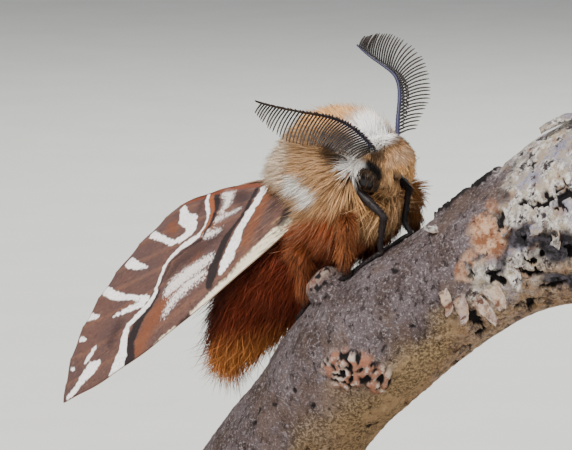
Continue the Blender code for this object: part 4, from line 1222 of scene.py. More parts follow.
# %% The body under the fur
BODY_AXIS = [
    (8.05, 0.0, -1.3, 0.05),
    (7.6, 0.0, -1.15, 1.1),
    (6.85, 0.0, -0.85, 1.65),
    (5.9, 0.0, -0.7, 1.85),
    (5.0, 0.0, -0.55, 2.1),
    (3.6, 0.0, -0.1, 3.0),
    (1.8, 0.0, 0.2, 3.75),
    (-0.2, 0.0, 0.3, 3.9),
    (-2.2, 0.0, 0.0, 3.4),
    (-4.0, -0.05, -0.9, 2.65),
    (-5.8, -0.3, -1.8, 2.5),
    (-7.8, -0.7, -2.8, 2.6),
    (-9.7, -1.35, -3.8, 2.55),
    (-11.6, -2.1, -4.9, 2.3),
    (-14.5, -3.5, -6.9, 1.4),
    (-16.1, -4.35, -8.15, 0.05),
]
HEAD_ENDS, THORAX_ENDS = 4.9, -4.2
NEAR = 2e-3


def body_surface(s, turn):
    """Places on the skin, the ways out of it and the ways back along it, at s from face to tail and turns round."""
    axis = np.array(BODY_AXIS)
    at = catmull(axis, s)
    step = catmull(axis, np.minimum(s + NEAR, 1)) - catmull(axis, np.maximum(s - NEAR, 0))
    back = unit(step[..., :3])
    side = unit(np.cross(np.array((0.0, 0.0, 1.0)), -back))
    up = np.cross(-back, side)
    out = side * np.sin(turn)[..., None] + up * np.cos(turn)[..., None]
    slope = step[..., 3] / np.maximum(np.linalg.norm(step[..., :3], axis=-1), 1e-4)
    return at[..., :3] + out * np.maximum(at[..., 3:], 0.02), unit(out - back * slope[..., None]), back


print("The body is", round(BODY_AXIS[0][0] - BODY_AXIS[-1][0], 1), "mm long along its own X")

# %% [markdown]
# ## The markings of the fur
#
# The real coat is cream and tan, with a white collar, white tufts at the wing bases, a golden crest, dark fur round the
# eyes and a deep rust belly. Painting each strand by hand would take days. Instead skin and strands take their colours
# from the same soft spots, given in the moth's frame, so the two always agree.

# %% Spots of the coat, as centre, three radii and strength
def both_sides(at, radii, strength):
    """The same spot on the right and on the left."""
    return [((at[0], side * at[1], at[2]), radii, strength) for side in (-1, 1)]


WHITE_FUR = [
    ((6.7, -0.2, 1.6), (2.1, 1.7, 1.5), 1.0),
    ((5.2, 1.3, 2.4), (1.15, 2.9, 1.45), 1.0),
    ((5.3, -1.6, 1.3), (1.0, 1.4, 1.2), 1.0),
    *both_sides((5.3, 2.8, 0.05), (1.3, 1.25, 1.35), 0.9),
    *both_sides((0.7, 5.0, 1.1), (1.15, 1.5, 0.85), 1.0),
    *both_sides((1.3, 5.0, -0.2), (1.0, 1.5, 0.9), 1.0),
]
DARK_FUR_AND_SHADE = [
    # Painted shade in the hollow between the pale fan and the white tuft, on each side
    *both_sides((4.5, 3.3, 1.7), (0.5, 0.9, 1.1), 0.8),
    # Dark fur round the eyes, down from the feelers' feet
    *both_sides((6.6, 2.3, -0.9), (1.0, 1.3, 1.15), 1.0),
    *both_sides((5.3, 2.8, -1.7), (0.75, 0.9, 0.7), 1.0),
    *both_sides((7.4, 1.3, 0.0), (0.7, 0.7, 0.8), 0.8),
    ((8.0, 0.0, 0.35), (0.7, 1.6, 0.55), 0.5),
    # Painted shade in the hollow below the face, on the right side
    ((6.5, -1.9, -3.0), (0.9, 0.9, 0.7), 0.9),
    # Painted shade low on the right side of the thorax, by the mid leg
    ((-0.6, -3.3, -5.0), (1.6, 1.0, 1.0), 0.5),
]
GOLD_FUR_AND_HIGHLIGHT = [
    ((2.6, 0.0, 5.0), (3.4, 2.4, 1.3), 1.0),
    *both_sides((8.1, 0.9, -2.3), (0.9, 1.0, 1.0), 0.75),
    # Gold low on the chest, stronger on the left as a painted highlight where light falls on it from behind
    ((5.0, -2.6, -3.6), (1.5, 1.5, 2.0), 0.45),
    ((5.0, 2.6, -3.6), (1.5, 1.5, 2.0), 0.7),
]
PALE_FUR = [
    *both_sides((-1.4, 4.2, 3.4), (2.4, 2.2, 2.2), 0.9),
    ((-4.5, 0.0, 2.0), (2.0, 2.4, 2.0), 0.6),
    ((8.3, 0.0, -1.7), (1.2, 1.6, 1.4), 0.25),
]
print("spots of the coat:", sum(len(marks) for marks in (WHITE_FUR, DARK_FUR_AND_SHADE, GOLD_FUR_AND_HIGHLIGHT, PALE_FUR)))


# %% What a place on the coat is
def coat_marks(places):
    """The values that the coat's material reads, for places on the skin."""
    x, z = places[..., 0], places[..., 2]
    # Painted shade on the upper flanks of the abdomen, under the edge of the wings
    painted_wing_shade = 0.42 * smooth(0.2, 1.7, z + 0.9 - 0.571 * (x + 4)) * smooth(-3.8, -5.5, x)
    return {
        "white": spots(places, WHITE_FUR),
        # The dark value holds dark fur and painted shade together
        "dark": np.maximum(spots(places, DARK_FUR_AND_SHADE), painted_wing_shade),
        "gold": spots(places, GOLD_FUR_AND_HIGHLIGHT),
        "pale": spots(places, PALE_FUR),
        "rust": smooth(-1.2, -2.6, z + 0.15 * x) * smooth(2.9, 1.4, x),
        "belly": smooth(-4.4, -6.4, x + 0.5 * z + 1.5),
        "tail": smooth(-9.8, -13.2, 0.3 * x + 0.89 * z),
    }


COAT_KEYS = ("pale", "rust", "gold", "belly", "tail", "dark", "white")
print("The crest is gold:", coat_marks(np.array([2.6, 0.0, 5.0]))["gold"].round(2))


# %% The coat's colours as a node group
def coat_colour(graph, entry):
    """Tan first, and then each tone over it where its value says so; white comes last."""
    colour = graph.mix(entry["Pale"], tone(196, 150, 104), tone(246, 222, 196))
    colour = graph.mix(entry["Rust"], colour, tone(158, 72, 28))
    colour = graph.mix(entry["Gold"], colour, tone(238, 178, 108))
    colour = graph.mix(entry["Belly"], colour, tone(112, 40, 12))
    colour = graph.mix(entry["Tail"], colour, tone(204, 130, 66))
    # Dark fur, and painted shade in hollows and under the wings
    colour = graph.mix(entry["Dark"], colour, tone(13, 9, 9))
    return [graph.mix(entry["White"], colour, tone(255, 252, 248))]


COAT_COLOUR = group(
    "CoatColour",
    [(key.capitalize(), "NodeSocketFloat", 0.0) for key in COAT_KEYS],
    [("Color", "NodeSocketColor")],
    coat_colour,
)


def marked(graph):
    """The coat's colour from the values that the mesh carries."""
    return use(graph, COAT_COLOUR, **{key.capitalize(): graph.value(key) for key in COAT_KEYS})["Color"]


# %% Skin and strands
def skin_fill(graph):
    """The coat's colours, uneven and darkened, so that gaps between the strands look deep."""
    grain = use(graph, SPECKLE, Color=marked(graph), Place=here(graph), Scale=3.0, Amount=0.6)
    colour = graph.mix(0.62, grain["Color"], tone(40, 22, 14))
    return colour, grain["Grain"], 0.5, 0.2 * MM


def coat_fill(graph):
    """Strands are darker at the root, as painted shade deep in the coat, and paler at the tip, and each differs a
    little from the next.
    """
    along, shade = graph.value("along"), graph.value("shade")
    own = marked(graph)
    # Painted shade: each strand darker towards its root, as deep in the coat
    deep = graph.mix(0.88, own, tone(64, 34, 20), "MULTIPLY")
    white = graph.times(graph.value("white"), 0.5)
    colour = graph.mix(graph.math("ADD", graph.rise(along, 0.04, 0.72), white, True), deep, own)
    pale = graph.mix(0.4, own, tone(252, 226, 188))
    tips = graph.times(graph.rise(along, 0.55, 1.0), graph.rise(shade, 0.25, 1.0))
    plain = graph.math("MAXIMUM", graph.value("dark"), graph.times(graph.value("belly"), 0.5))
    tips = graph.times(tips, graph.rise(plain, 0.6, 0.1))
    colour = graph.mix(tips, colour, pale)
    spread = graph.math("ADD", 0.64, graph.times(shade, 0.62))
    return (graph.brighter(colour, graph.math("MAXIMUM", spread, graph.value("white"))),)


SKIN_LOOK = material("Skin", skin_fill, 0.8)
COAT_LOOK = material("Fur", coat_fill, 0.5, Specular_IOR_Level=0.25)


def unwrap(made, corner_uv):
    """Gives a mesh the map that a bake would use."""
    layer = made.data.uv_layers.new(name="OFBake")
    index = np.empty(len(made.data.loops), np.int32)
    made.data.loops.foreach_get("vertex_index", index)
    layer.data.foreach_set("uv", corner_uv[index].astype(np.float32).ravel())


# %% The skin itself
SKIN_RINGS, SKIN_SIDES = 260, 121
s_grid, turn_grid = np.meshgrid(np.linspace(0, 1, SKIN_RINGS), np.linspace(0, math.tau, SKIN_SIDES), indexing="ij")
skin_places, skin_out, _ = body_surface(s_grid, turn_grid)
skin_places = skin_places + skin_out * (0.12 * wavy(skin_places, 1.2, 20))[..., None]
skin_places[:, -1] = skin_places[:, 0]
skin = mesh_piece(
    "skin",
    to_row(skin_places.reshape(-1, 3)),
    grid_faces(SKIN_RINGS, SKIN_SIDES),
    SKIN_LOOK,
    {key: value.ravel() for key, value in coat_marks(skin_places).items()},
)
unwrap(skin, np.stack([s_grid.ravel(), turn_grid.ravel() / math.tau], -1) * 0.99)
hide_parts("head", "thorax", "abdomen")

# %% [markdown]
# ## How the fur lies
#
# Each hair of the real coat leaves the skin at a lift and bends over the way the coat lies: backwards over the wing
# roots on the back and flanks, downwards on the chest and face, and towards the tail on the abdomen. Particle hair
# could be combed that way, but it would be lost when the model is kept as plain meshes. So each tuft is a real mesh: a
# thin strand with three sides and a point, and its lie, lift and length are worked out from where its root is.

# %% Roots
PICK = np.random.default_rng(7)
TRIES = 40000


def coat_roots(count, wanted):
    """Random places on the skin, even by area and thinned by a wanted density from 0 to 1."""
    kept = []
    total = 0
    while total < count:
        s, turn = PICK.random(TRIES), PICK.random(TRIES) * math.tau
        at, _, _ = body_surface(s, turn)
        near = body_surface(np.minimum(s + 1e-3, 1), turn)[0] - at
        area = np.linalg.norm(np.cross(near, body_surface(s, turn + 1e-3)[0] - at), axis=-1)
        area = area / np.quantile(area, 0.98)
        good = PICK.random(TRIES) < np.minimum(area, 1) * wanted(at)
        kept.append(np.stack([s[good], turn[good]], -1))
        total += good.sum()
    return np.concatenate(kept)[:count]


print("A seed gives the same numbers in each run:", np.random.default_rng(7).random(3).round(3))


# %% The regions of the coat
def coat_regions(at, out):
    """How far each root is part of each region, from 0 to 1."""
    x, up = at[:, 0], out[:, 2]
    wing_base = smooth(1.5, 0.3, x) * smooth(2.6, 1.4, at[:, 2]) * smooth(-1.6, -0.9, at[:, 2])
    return {
        "head": smooth(HEAD_ENDS - 0.5, HEAD_ENDS + 0.5, x),
        "tail": smooth(THORAX_ENDS + 0.8, THORAX_ENDS - 0.8, x),
        "front": smooth(1.0, 4.5, x),
        "chest": np.clip(-1.2 * up - 0.1, 0, 1),
        "low": np.maximum(0, -up),
        "crest": np.maximum(0, up),
        "flank": np.maximum(0, 1 - np.abs(up - 0.35) * 2) * smooth(2.5, 0.5, x),
        "collar": smooth(6.2, 5.2, x) * smooth(-0.2, 0.3, up),
        "wing_base": wing_base * smooth(2.0, 2.8, np.abs(at[:, 1])),
    }


print("regions of the coat:", ", ".join(coat_regions(np.zeros((1, 3)), np.ones((1, 3)))))


# %% The way the coat lies
def combed_round_eyes(at, lie):
    """The coat's lie, turned over the rims of the eyes, and how near each root is to one, from 0 to 1."""
    by_eye = np.zeros(len(at))
    for mirror in (-1, 1):
        eye = eye_at(mirror)
        near = smooth(1.9, 1.3, np.linalg.norm(at - eye, axis=1))[:, None]
        over = unit(eye + np.array((0.0, 0.4 * mirror, -0.3)) - at)
        lie = blend(lie, over, 0.85 * near)
        by_eye = np.maximum(by_eye, near[:, 0])
    return unit(lie), by_eye


def coat_lie(at, out, back, region):
    """Backwards on the thorax, down on chest and face, up and back on the collar, and to the tail behind."""
    x, chest, front = at[:, 0], region["chest"], region["front"]
    head, tail, collar = (region[key][:, None] for key in ("head", "tail", "collar"))
    body_lie = np.stack([-1 + 1.1 * chest * front, 0 * x, -0.3 * chest - 0.9 * chest * front], -1)
    head_lie = np.stack([-0.45 * region["low"], out[:, 1] * 0.6, -np.ones_like(x)], -1)
    head_lie = blend(head_lie, np.array((-0.8, 0.0, 0.4)), collar)
    return blend(blend(body_lie, head_lie, head), back, tail)


crest = body_surface(np.array([0.45]), np.zeros(1))
print("On the crest the coat lies towards", coat_lie(*crest, coat_regions(*crest[:2])).round(2))


# %% Lift and length
def coat_lift(at, region):
    """How steeply the hair leaves the skin, in radians."""
    body = np.radians(36 + 32 * region["chest"] * (1 - 0.6 * region["front"]))
    head = np.radians(34 + 4 * region["low"] + 16 * region["collar"])
    tuft = np.radians(46 - 22 * smooth(-4, -16, at[:, 0]))
    return blend(blend(body, head, region["head"]), tuft, region["tail"])


def coat_length(at, region, by_eye):
    """The hair's length: long on chest and tuft, shorter on crest and head, short at wing bases and eyes."""
    body = 2.5 - 0.4 * region["crest"] + 0.9 * region["flank"] + region["chest"] * (1.7 - 0.1 * region["front"])
    body = body * (1 - 0.68 * region["wing_base"])
    head = 1.0 + 0.6 * region["low"] + 0.9 * region["collar"]
    tuft = 3.5 + 0.4 * smooth(-10, -15.5, at[:, 0])
    return blend(blend(body, head, region["head"]) * (1 - 0.4 * by_eye), tuft, region["tail"])


def coat_hair(at, out, back):
    """For roots on the skin: the way the coat lies, its lift and its length."""
    region = coat_regions(at, out)
    lie, by_eye = combed_round_eyes(at, coat_lie(at, out, back, region))
    return lie, coat_lift(at, region), coat_length(at, region, by_eye)


print("The crest's hair is", coat_hair(*crest)[2].round(2), "mm long")


# %% From roots to lines
# Where a strand's three rings and its point are along it, and how thick the rings are
STEPS = np.array((0.0, 0.36, 0.72, 1.0))
RING_WIDTHS = np.array((0.85, 1.0, 0.62))
ROOT_DEPTH = 0.12
CLUMP_SIZE = 16


def gathered(lines, at, clump, pick):
    """Strands drawn together towards the tips: each follows the nearest of some that lead a clump."""
    leaders = pick.choice(len(at), max(2, int(len(at) / CLUMP_SIZE)), replace=False)
    tree = KDTree(len(leaders))
    for k, leader in enumerate(leaders):
        tree.insert(at[leader], k)
    tree.balance()
    mine = leaders[[tree.find(p)[1] for p in at]]
    pull = (clump * (0.5 + pick.random(len(at)))).clip(0, 0.85)[:, None, None] * (STEPS**1.5)[:, None]
    followed = lines[mine] + (lines[:, :1] - lines[mine][:, :1]) * 0.25
    return blend(lines, followed, pull)


def strand_lines(at, out, lie, lift, length, spread, clump, seed):
    """Centre lines of strands: four points each, gathered towards the tips of nearby clumps."""
    pick = np.random.default_rng(seed)
    lie = unit(lie + pick.normal(0, spread, lie.shape))
    lie = unit(lie - out * np.sum(lie * out, -1, keepdims=True))
    drift = wavy(at, 0.9, seed)
    lift = np.clip(lift + 0.22 * drift + pick.normal(0, spread * 0.6, len(at)), 0.08, 1.45)
    rise = out * np.sin(lift)[:, None] + lie * np.cos(lift)[:, None]
    bend = lie * 0.35 - out * 0.22 + pick.normal(0, 0.08, at.shape)
    length = length * (0.72 + 0.5 * pick.random(len(at)) + 0.12 * wavy(at, 1.6, seed + 3))
    steps = STEPS[:, None]
    lines = at[:, None] + (rise[:, None] * steps + bend[:, None] * steps**2) * length[:, None, None]
    lines = gathered(lines, at, clump, pick)
    lines[:, 0] -= out * ROOT_DEPTH
    return lines


print("A strand's rings and its point are at", STEPS, "of its length")


# %% From lines to a mesh
def strand_mesh(lines, radius):
    """Corners, quads and triangles of tapered strands: three rings of three corners each, and a point."""
    count = len(lines)
    along = unit(np.gradient(lines, axis=1))
    first = unit(np.cross(along, ASLANT_HAIR))
    second = np.cross(along, first)
    turn = np.arange(3) * math.tau / 3
    ring = np.cos(turn)[:, None] * first[:, :3, None] + np.sin(turn)[:, None] * second[:, :3, None]
    wide = RING_WIDTHS[:, None, None] * np.asarray(radius)[:, None, None, None]
    body = (lines[:, :3, None] + ring * wide).reshape(count, 9, 3)
    corners = np.concatenate([body, lines[:, 3:]], 1).reshape(-1, 3)
    quads = [(r * 3 + k, r * 3 + (k + 1) % 3, r * 3 + 3 + (k + 1) % 3, r * 3 + 3 + k) for r in (0, 1) for k in range(3)]
    tips = [(6 + k, 6 + (k + 1) % 3, 9) for k in range(3)] + [(2, 1, 0)]
    start = (np.arange(count) * 10)[:, None, None]
    return corners, (np.array(quads) + start).reshape(-1, 4), (np.array(tips) + start).reshape(-1, 3)


def strand_piece(name, lines, radius, look, values, root_uv):
    """One mesh of many strands. Values are given per strand, and the strand's own two are added."""
    corners, quads, tips = strand_mesh(lines, radius)
    count = len(lines)
    faces = [list(f) for f in quads] + [list(f) for f in tips]
    carried = {key: np.repeat(value, 10, axis=0) for key, value in values.items()}
    carried["along"] = np.tile(np.repeat(STEPS, (3, 3, 3, 1)), count)
    made = mesh_piece(name, to_row(corners), faces, look, carried)
    patch = np.array([(k / 2, r / 3) for r in range(3) for k in range(3)] + [(0.5, 1.0)]) * 0.003
    unwrap(made, (root_uv[:, None] * 0.99 + patch).reshape(-1, 2))
    print(name, count, "strands")
    return made


print("One strand has", len(strand_mesh(np.cumsum(np.ones((1, 4, 3)), 1), np.ones(1))[0]), "corners")


# %% Keeping strands clear of everything else
# A strand that would keep less than this share of its length is left out
SHORTEST = 0.3
HARD = [BARK_TREE] + [
    BVHTree.FromPolygons([v.co / MM for v in piece.data.vertices], [tuple(p.vertices) for p in piece.data.polygons])
    for piece in WINGS.values()
]


def cut_short(lines):
    """Shortens each strand that would pass into bark, a wing or an eye, and says which are worth keeping."""
    keep = np.ones(len(lines), bool)
    for k, line in enumerate(to_row(lines)):
        reach = 1.0
        for a in range(3):
            start, way = Vector(line[a]), Vector(line[a + 1] - line[a])
            hits = [t.ray_cast(start, way, way.length)[3] for t in HARD]
            hits = [h for h in hits if h is not None]
            if hits:
                reach = STEPS[a] + (STEPS[a + 1] - STEPS[a]) * min(hits) / way.length
                break
        if reach < 1:
            keep[k] = reach > SHORTEST
            lines[k] = lines[k, :1] + (lines[k] - lines[k, :1]) * reach * 0.92
    for mirror in (-1, 1):
        gap = np.linalg.norm(lines - eye_at(mirror), axis=-1)
        keep &= gap[:, 1:].min(1) > EYE_RADIUS - 0.05
        keep &= gap[:, 0] > EYE_RADIUS * 1.02
    return keep


print("The fur keeps clear of", len(HARD), "pieces and the eyes")


# %% [markdown]
# ## The feelers
#
# A male's feelers are combs with two rows of fine rays, which catch scent. An array modifier on a curve could repeat
# one ray, but then all would be alike. Here each feeler is one mesh of a tapered, ringed shaft and two rows of thin
# curved tubes, each a little different, swept towards the tip on the model's own lines.

# %% The feelers' lines
FEELER_RADII = (0.19, 0.17, 0.14, 0.1, 0.07)
SHAFT_STEPS = 90
RAYS = 42
RAY_PARTS = np.linspace(0, 1, 8)
RAY_LENGTH = 2.6
RAY_SWEEP = 0.55
FEELERS = {
    "right": {
        "shaft": [
            (7.0, -1.0, -0.45),
            (7.28, -1.43, 1.0),
            (7.1, -1.95, 2.65),
            (6.45, -2.78, 4.21),
            (5.2, -4.0, 5.55),
            (3.77, -5.12, 6.93),
            (2.37, -5.69, 8.17),
        ],
        "rows": [(-0.53, -0.64, -0.53), (0.72, -0.62, -0.1)],
    },
    "left": {
        "shaft": [
            (7.0, 1.0, -0.45),
            (7.45, 1.9, 1.6),
            (7.73, 3.25, 3.45),
            (7.64, 3.95, 4.91),
            (7.0, 4.0, 6.0),
            (6.11, 3.7, 7.5),
            (5.31, 3.8, 8.75),
        ],
        "rows": [(0.86, 0.27, -0.4), (-0.47, 0.85, -0.17)],
    },
}
print("Each feeler has", 2 * RAYS, "rays")


# %% The feelers' finish
def feeler_fill(graph):
    """A dark shaft tinted blue as a painted reflection, and rays that are black at the root and brown at the tip."""
    grain = graph.noise(here(graph), 6.0, 3.0)
    # The blue in the shaft's colour is a painted reflection
    shaft = graph.mix(grain, tone(22, 20, 34), tone(46, 46, 84))
    ray = graph.mix(graph.value("reach"), tone(18, 13, 14), tone(46, 34, 28))
    return graph.mix(graph.value("ray"), shaft, ray), grain, 0.3, 0.03 * MM


FEELER_LOOK = material("Feeler", feeler_fill, 0.45, Specular_IOR_Level=0.35)


# %% A shaft and a ray
def feeler_shaft(known):
    """A feeler's shaft as an even line, and its radii with a ring for each pair of rays."""
    t = np.linspace(0, 1, SHAFT_STEPS)
    shaft = catmull(known, t)
    for _ in range(60):
        shaft[1:-1] = (shaft[:-2] + 2 * shaft[1:-1] + shaft[2:]) / 4
    segments = 1 + 0.09 * np.cos(t * math.tau * RAYS)
    return shaft, np.interp(t, np.linspace(0, 1, len(FEELER_RADII)), FEELER_RADII) * segments


def ray_line(shaft, along, way, at, pick):
    """A ray's line from its place on the shaft: it sweeps towards the tip, and is shorter near both ends."""
    k = min(int(at * (SHAFT_STEPS - 1)), SHAFT_STEPS - 2)
    root = shaft[k] + (shaft[k + 1] - shaft[k]) * (at * (SHAFT_STEPS - 1) - k)
    wide = unit(np.array(way) - along[k] * (along[k] @ np.array(way)))
    reach = RAY_LENGTH * min(1, 0.4 + 2.2 * at) * min(1, 0.3 + 2.4 * (1 - at)) * (1 + pick.normal(0, 0.012))
    part = RAY_PARTS[:, None]
    sweep = RAY_SWEEP * (part - 0.55 * part**2) + 0.025 * pick.normal() * part**2
    dip = np.cross(along[k], wide) * 0.12 * part**2
    return root + (wide * part + along[k] * sweep + dip) * reach


shaft = feeler_shaft(FEELERS["right"]["shaft"])[0]
print("The right feeler is", np.linalg.norm(np.diff(shaft, axis=0), axis=1).sum().round(1), "mm long")


# %% The feelers
def feeler_piece(side):
    """One feeler: the shaft, and on each side a row of tubes that swell, curve and taper."""
    shaft, radii = feeler_shaft(FEELERS[side]["shaft"])
    along = unit(np.gradient(shaft, axis=0))
    corners, faces = tube_mesh(shaft, radii, 10)
    parts, every_face, count = [corners], list(faces), len(corners)
    marks = {"ray": [np.zeros(count)], "reach": [np.zeros(count)]}
    ray_radii = np.interp(RAY_PARTS, (0, 0.85, 1), (0.075, 0.068, 0.026))
    pick = np.random.default_rng(31)
    for way in FEELERS[side]["rows"]:
        for step in range(RAYS):
            line = ray_line(shaft, along, way, 0.1 + 0.89 * step / RAYS, pick)
            corners, faces = tube_mesh(line, ray_radii, 5)
            every_face += [[i + count for i in f] for f in faces]
            parts.append(corners)
            marks["ray"].append(np.ones(len(corners)))
            marks["reach"].append(np.repeat(RAY_PARTS, 5))
            count += len(corners)
    values = {key: np.concatenate(value) for key, value in marks.items()}
    made = mesh_piece(f"feeler_{side}", to_row(np.concatenate(parts)), every_face, FEELER_LOOK, values)
    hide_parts(f"antenna_{side}")


for side in FEELERS:
    feeler_piece(side)

# %% [markdown]
# ## The legs
#
# The legs grip the bark. Only the front ones show well, as thin black lines before the chest; the thighs are deep in
# fur. They could be boxes under a subdivision, but a leg is a chain of tapering segments. So each is one tube through
# its joints, with a ringed foot that is set down on the bark and two claws, and short strands cover it.

# %% The legs' joints
LEGS = {
    "leg_fore_right": [(4.05, -2.2, -1.5), (5.2, -1.9, -4.45), (2.93, -1.9, -6.7), (1.05, -3.3, -7.2)],
    "leg_fore_left": [(4.3, 1.9, -1.8), (5.3, 1.7, -3.4), (3.44, 1.2, -5.8), (1.72, -0.9, -7.0)],
    "leg_mid_right": [(1.2, -2.2, -2.3), (3.1, -3.8, -3.5), (0.6, -4.2, -6.6), (-1.2, -4.5, -7.2)],
    "leg_mid_left": [(1.0, 2.2, -2.3), (2.6, 4.3, -3.6), (1.6, 3.6, -6.4), (0.2, 2.6, -7.2)],
    "leg_hind_right": [(-1.9, -1.7, -2.7), (-2.8, -4.3, -3.8), (-4.9, -4.6, -7.6), (-6.7, -5.0, -8.4)],
    "leg_hind_left": [(-1.9, 1.7, -2.7), (-2.6, 4.0, -4.0), (-4.4, 2.3, -7.8), (-6.0, 1.2, -8.6)],
}
# How much longer the hair is on each thigh, and how pale it is, from 0 to 1. On the left mid leg the pale is a painted
# highlight of light falling on it from behind
THIGHS = {
    "leg_fore_right": (0.0, 0.0),
    "leg_fore_left": (0.0, 0.0),
    "leg_mid_right": (0.9, 0.1),
    "leg_mid_left": (0.9, 0.9),
    "leg_hind_right": (1.3, 0.0),
    "leg_hind_left": (1.3, 0.0),
}
LEG_LINES = {}
print("legs:", len(LEGS))


# %% The legs' finish
def leg_fill(graph):
    """Nearly black and rough."""
    grain = graph.noise(here(graph), 5.0, 4.0)
    return graph.mix(grain, tone(14, 11, 12), tone(40, 31, 31)), grain, 0.5, 0.05 * MM


def leg_hair_fill(graph):
    """Dark on the shin and the foot, rust or tan on the thigh, and each strand a little different."""
    # Tan where the thigh is pale; on the left mid leg this is a painted highlight
    thigh = graph.mix(graph.value("pale"), tone(128, 68, 34), tone(176, 124, 72))
    own = graph.mix(graph.value("thigh"), tone(34, 25, 24), thigh)
    return (graph.brighter(own, graph.math("ADD", 0.6, graph.times(graph.value("shade"), 0.8))),)


LEG_LOOK = material("Leg", leg_fill, 0.5, Specular_IOR_Level=0.3)
LEG_HAIR = material("LegHair", leg_hair_fill, 0.55, Specular_IOR_Level=0.3)


# %% A leg and its claws
def leg_centre(joints):
    """A leg's line with its radii, and the foot set down on the bark."""
    hip, knee, ankle, toe = (np.array(j) for j in joints)
    line = [hip, (hip + knee) / 2, knee + (hip - knee) * 0.08, knee + (ankle - knee) * 0.08]
    line += [knee + (ankle - knee) * 0.5, knee + (ankle - knee) * 0.9]
    radii = [0.33, 0.36, 0.26, 0.23, 0.23, 0.19]
    for part in np.linspace(0, 1, 6):
        found, out = bark_hit(to_row(ankle + (toe - ankle) * part))
        line.append(to_moth(found + out * (0.26 - 0.12 * part)))
        radii.append(0.2 - 0.08 * part)
    return np.array(line), np.array(radii)


def leg_piece(name, line, radii):
    """The leg's tube with a ringed foot, and two hooked claws at its end."""
    t = np.linspace(0, 1, 110)
    fine = catmull(np.column_stack([line, radii]), t)
    foot = smooth(0.6, 0.64, t)
    knuckles = 1 + foot * 0.16 * np.cos((t - 0.6) / 0.4 * math.tau * 5)
    corners, faces = tube_mesh(fine[:, :3], fine[:, 3] * knuckles, 14)
    LEG_LINES[name] = fine[5:80:3, :3]
    count = len(corners)
    ahead = unit(fine[-1, :3] - fine[-6, :3])
    _, out = bark_hit(to_row(fine[-1, :3]))
    out = unit(out @ MOTH_TURN)
    aside = np.cross(ahead, out)
    for way in (-1, 1):
        part = np.linspace(0, 1, 7)[:, None]
        claw = fine[-1, :3] + (ahead * part * 0.9 + aside * way * (0.5 * part) - out * 0.5 * part**2 + out * 0.1) * 0.45
        more, claw_faces = tube_mesh(claw, np.linspace(0.06, 0.012, 7), 6)
        corners = np.concatenate([corners, more])
        faces += [[i + count for i in f] for f in claw_faces]
        count = len(corners)
    made = mesh_piece(f"{name}_fine", to_row(corners), faces, LEG_LOOK)
    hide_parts(name)


# %% The hair on a leg
def leg_hair(name, line, radii, number):
    """Short strands along a leg, which are longer on the thigh."""
    pick = np.random.default_rng(200 + number)
    fore = "fore" in name
    thigh_length, pale = THIGHS[name]
    total = 1000 if fore else 2400
    place = pick.random(total) * 0.97
    around = pick.random(total) * math.tau
    at = catmull(np.column_stack([line, radii]), place)
    forwards = unit(catmull(line, np.minimum(place + 0.01, 1)) - catmull(line, np.maximum(place - 0.01, 0)))
    first = unit(np.cross(forwards, ASLANT_HAIR))
    outward = first * np.cos(around)[:, None] + np.cross(forwards, first) * np.sin(around)[:, None]
    thigh = 0 * place if fore else smooth(0.52, 0.36, place)
    length = 0.2 + 0.25 * smooth(0.6, 0.45, place) + thigh_length * thigh
    lift = np.radians(12 + 28 * thigh)
    lines = strand_lines(at[:, :3] + outward * at[:, 3:] * 0.9, outward, forwards, lift, length, 0.2, 0.2, 300 + number)
    keep = cut_short(lines)
    values = {"thigh": thigh[keep], "pale": np.full(keep.sum(), pale), "shade": pick.random(total)[keep]}
    uv = np.stack([place, around / math.tau], -1)[keep]
    hair = strand_piece(f"{name}_hair", lines[keep], np.full(keep.sum(), 0.03), LEG_HAIR, values, uv)


for number, (name, joints) in enumerate(LEGS.items()):
    line, radii = leg_centre(joints)
    leg_piece(name, line, radii)
    leg_hair(name, line, radii, number)

# %% [markdown]
# ## The coat
#
# The coat hides the skin, runs over the wing roots and hangs in front of the chest. It is made last and in several
# pieces, so that it can keep clear of all that is hard, and part before the fore legs, which stand free of the fur.


# %% Parting the fur before the fore legs
def leaves_legs_free(lines):
    """Which strands do not hang close before a fore leg, seen from the front or half from the side."""
    keep = np.ones(len(lines), bool)
    part = np.linspace(0.3, 1, 8)
    t = part * 3
    first = np.minimum(t.astype(int), 2)
    points = lines[:, first] + (lines[:, first + 1] - lines[:, first]) * (t - first)[:, None]
    for name in ("leg_fore_right", "leg_fore_left"):
        for at in LEG_LINES[name]:
            gap = points - at
            for aside in (-0.8, -0.1, 0.6):
                way = unit(np.array((0.9, aside, 0.0)))
                ahead = gap @ way
                off = np.linalg.norm(gap - ahead[..., None] * way, axis=-1)
                keep &= ~((off < 0.3) & (ahead > -0.1)).any(1)
    return keep


print("The fur parts before", len(LEG_LINES["leg_fore_right"]), "places on each fore leg")


# %% One piece of the coat
def coat_piece(name, count, wanted, radius, spread, clump, seed):
    """A piece of the coat: its roots, its strands, and only those that are free of everything else."""
    roots = coat_roots(count, wanted)
    at, out, back = body_surface(roots[:, 0], roots[:, 1])
    lie, lift, length = coat_hair(at, out, back)
    lines = strand_lines(at, out, lie, lift, length, spread, clump, seed)
    keep = cut_short(lines) & leaves_legs_free(lines)
    pick = np.random.default_rng(seed + 50)
    values = {key: value[keep] for key, value in coat_marks(lines[:, 2]).items()}
    values["shade"] = (0.5 + 0.4 * wavy(at, 0.5, seed + 9) + pick.normal(0, 0.25, len(at))).clip(0, 1)[keep]
    root_uv = np.stack([roots[keep, 0], roots[keep, 1] / math.tau], -1)
    made = strand_piece(name, lines[keep], np.full(keep.sum(), radius), COAT_LOOK, values, root_uv)
    return made


def part_of(low, high, side=0):
    """A density that is 1 between two places along the moth, on one side or on both."""

    def wanted(at):
        """The density at places on the skin."""
        inside = (at[:, 0] >= low) & (at[:, 0] < high)
        if side:
            inside &= at[:, 1] * side >= 0
        return inside.astype(float)

    return wanted


on_head = part_of(HEAD_ENDS, 9)(np.array(BODY_AXIS))
print("Of the body's", len(BODY_AXIS), "sections,", int(on_head.sum()), "are on the head")


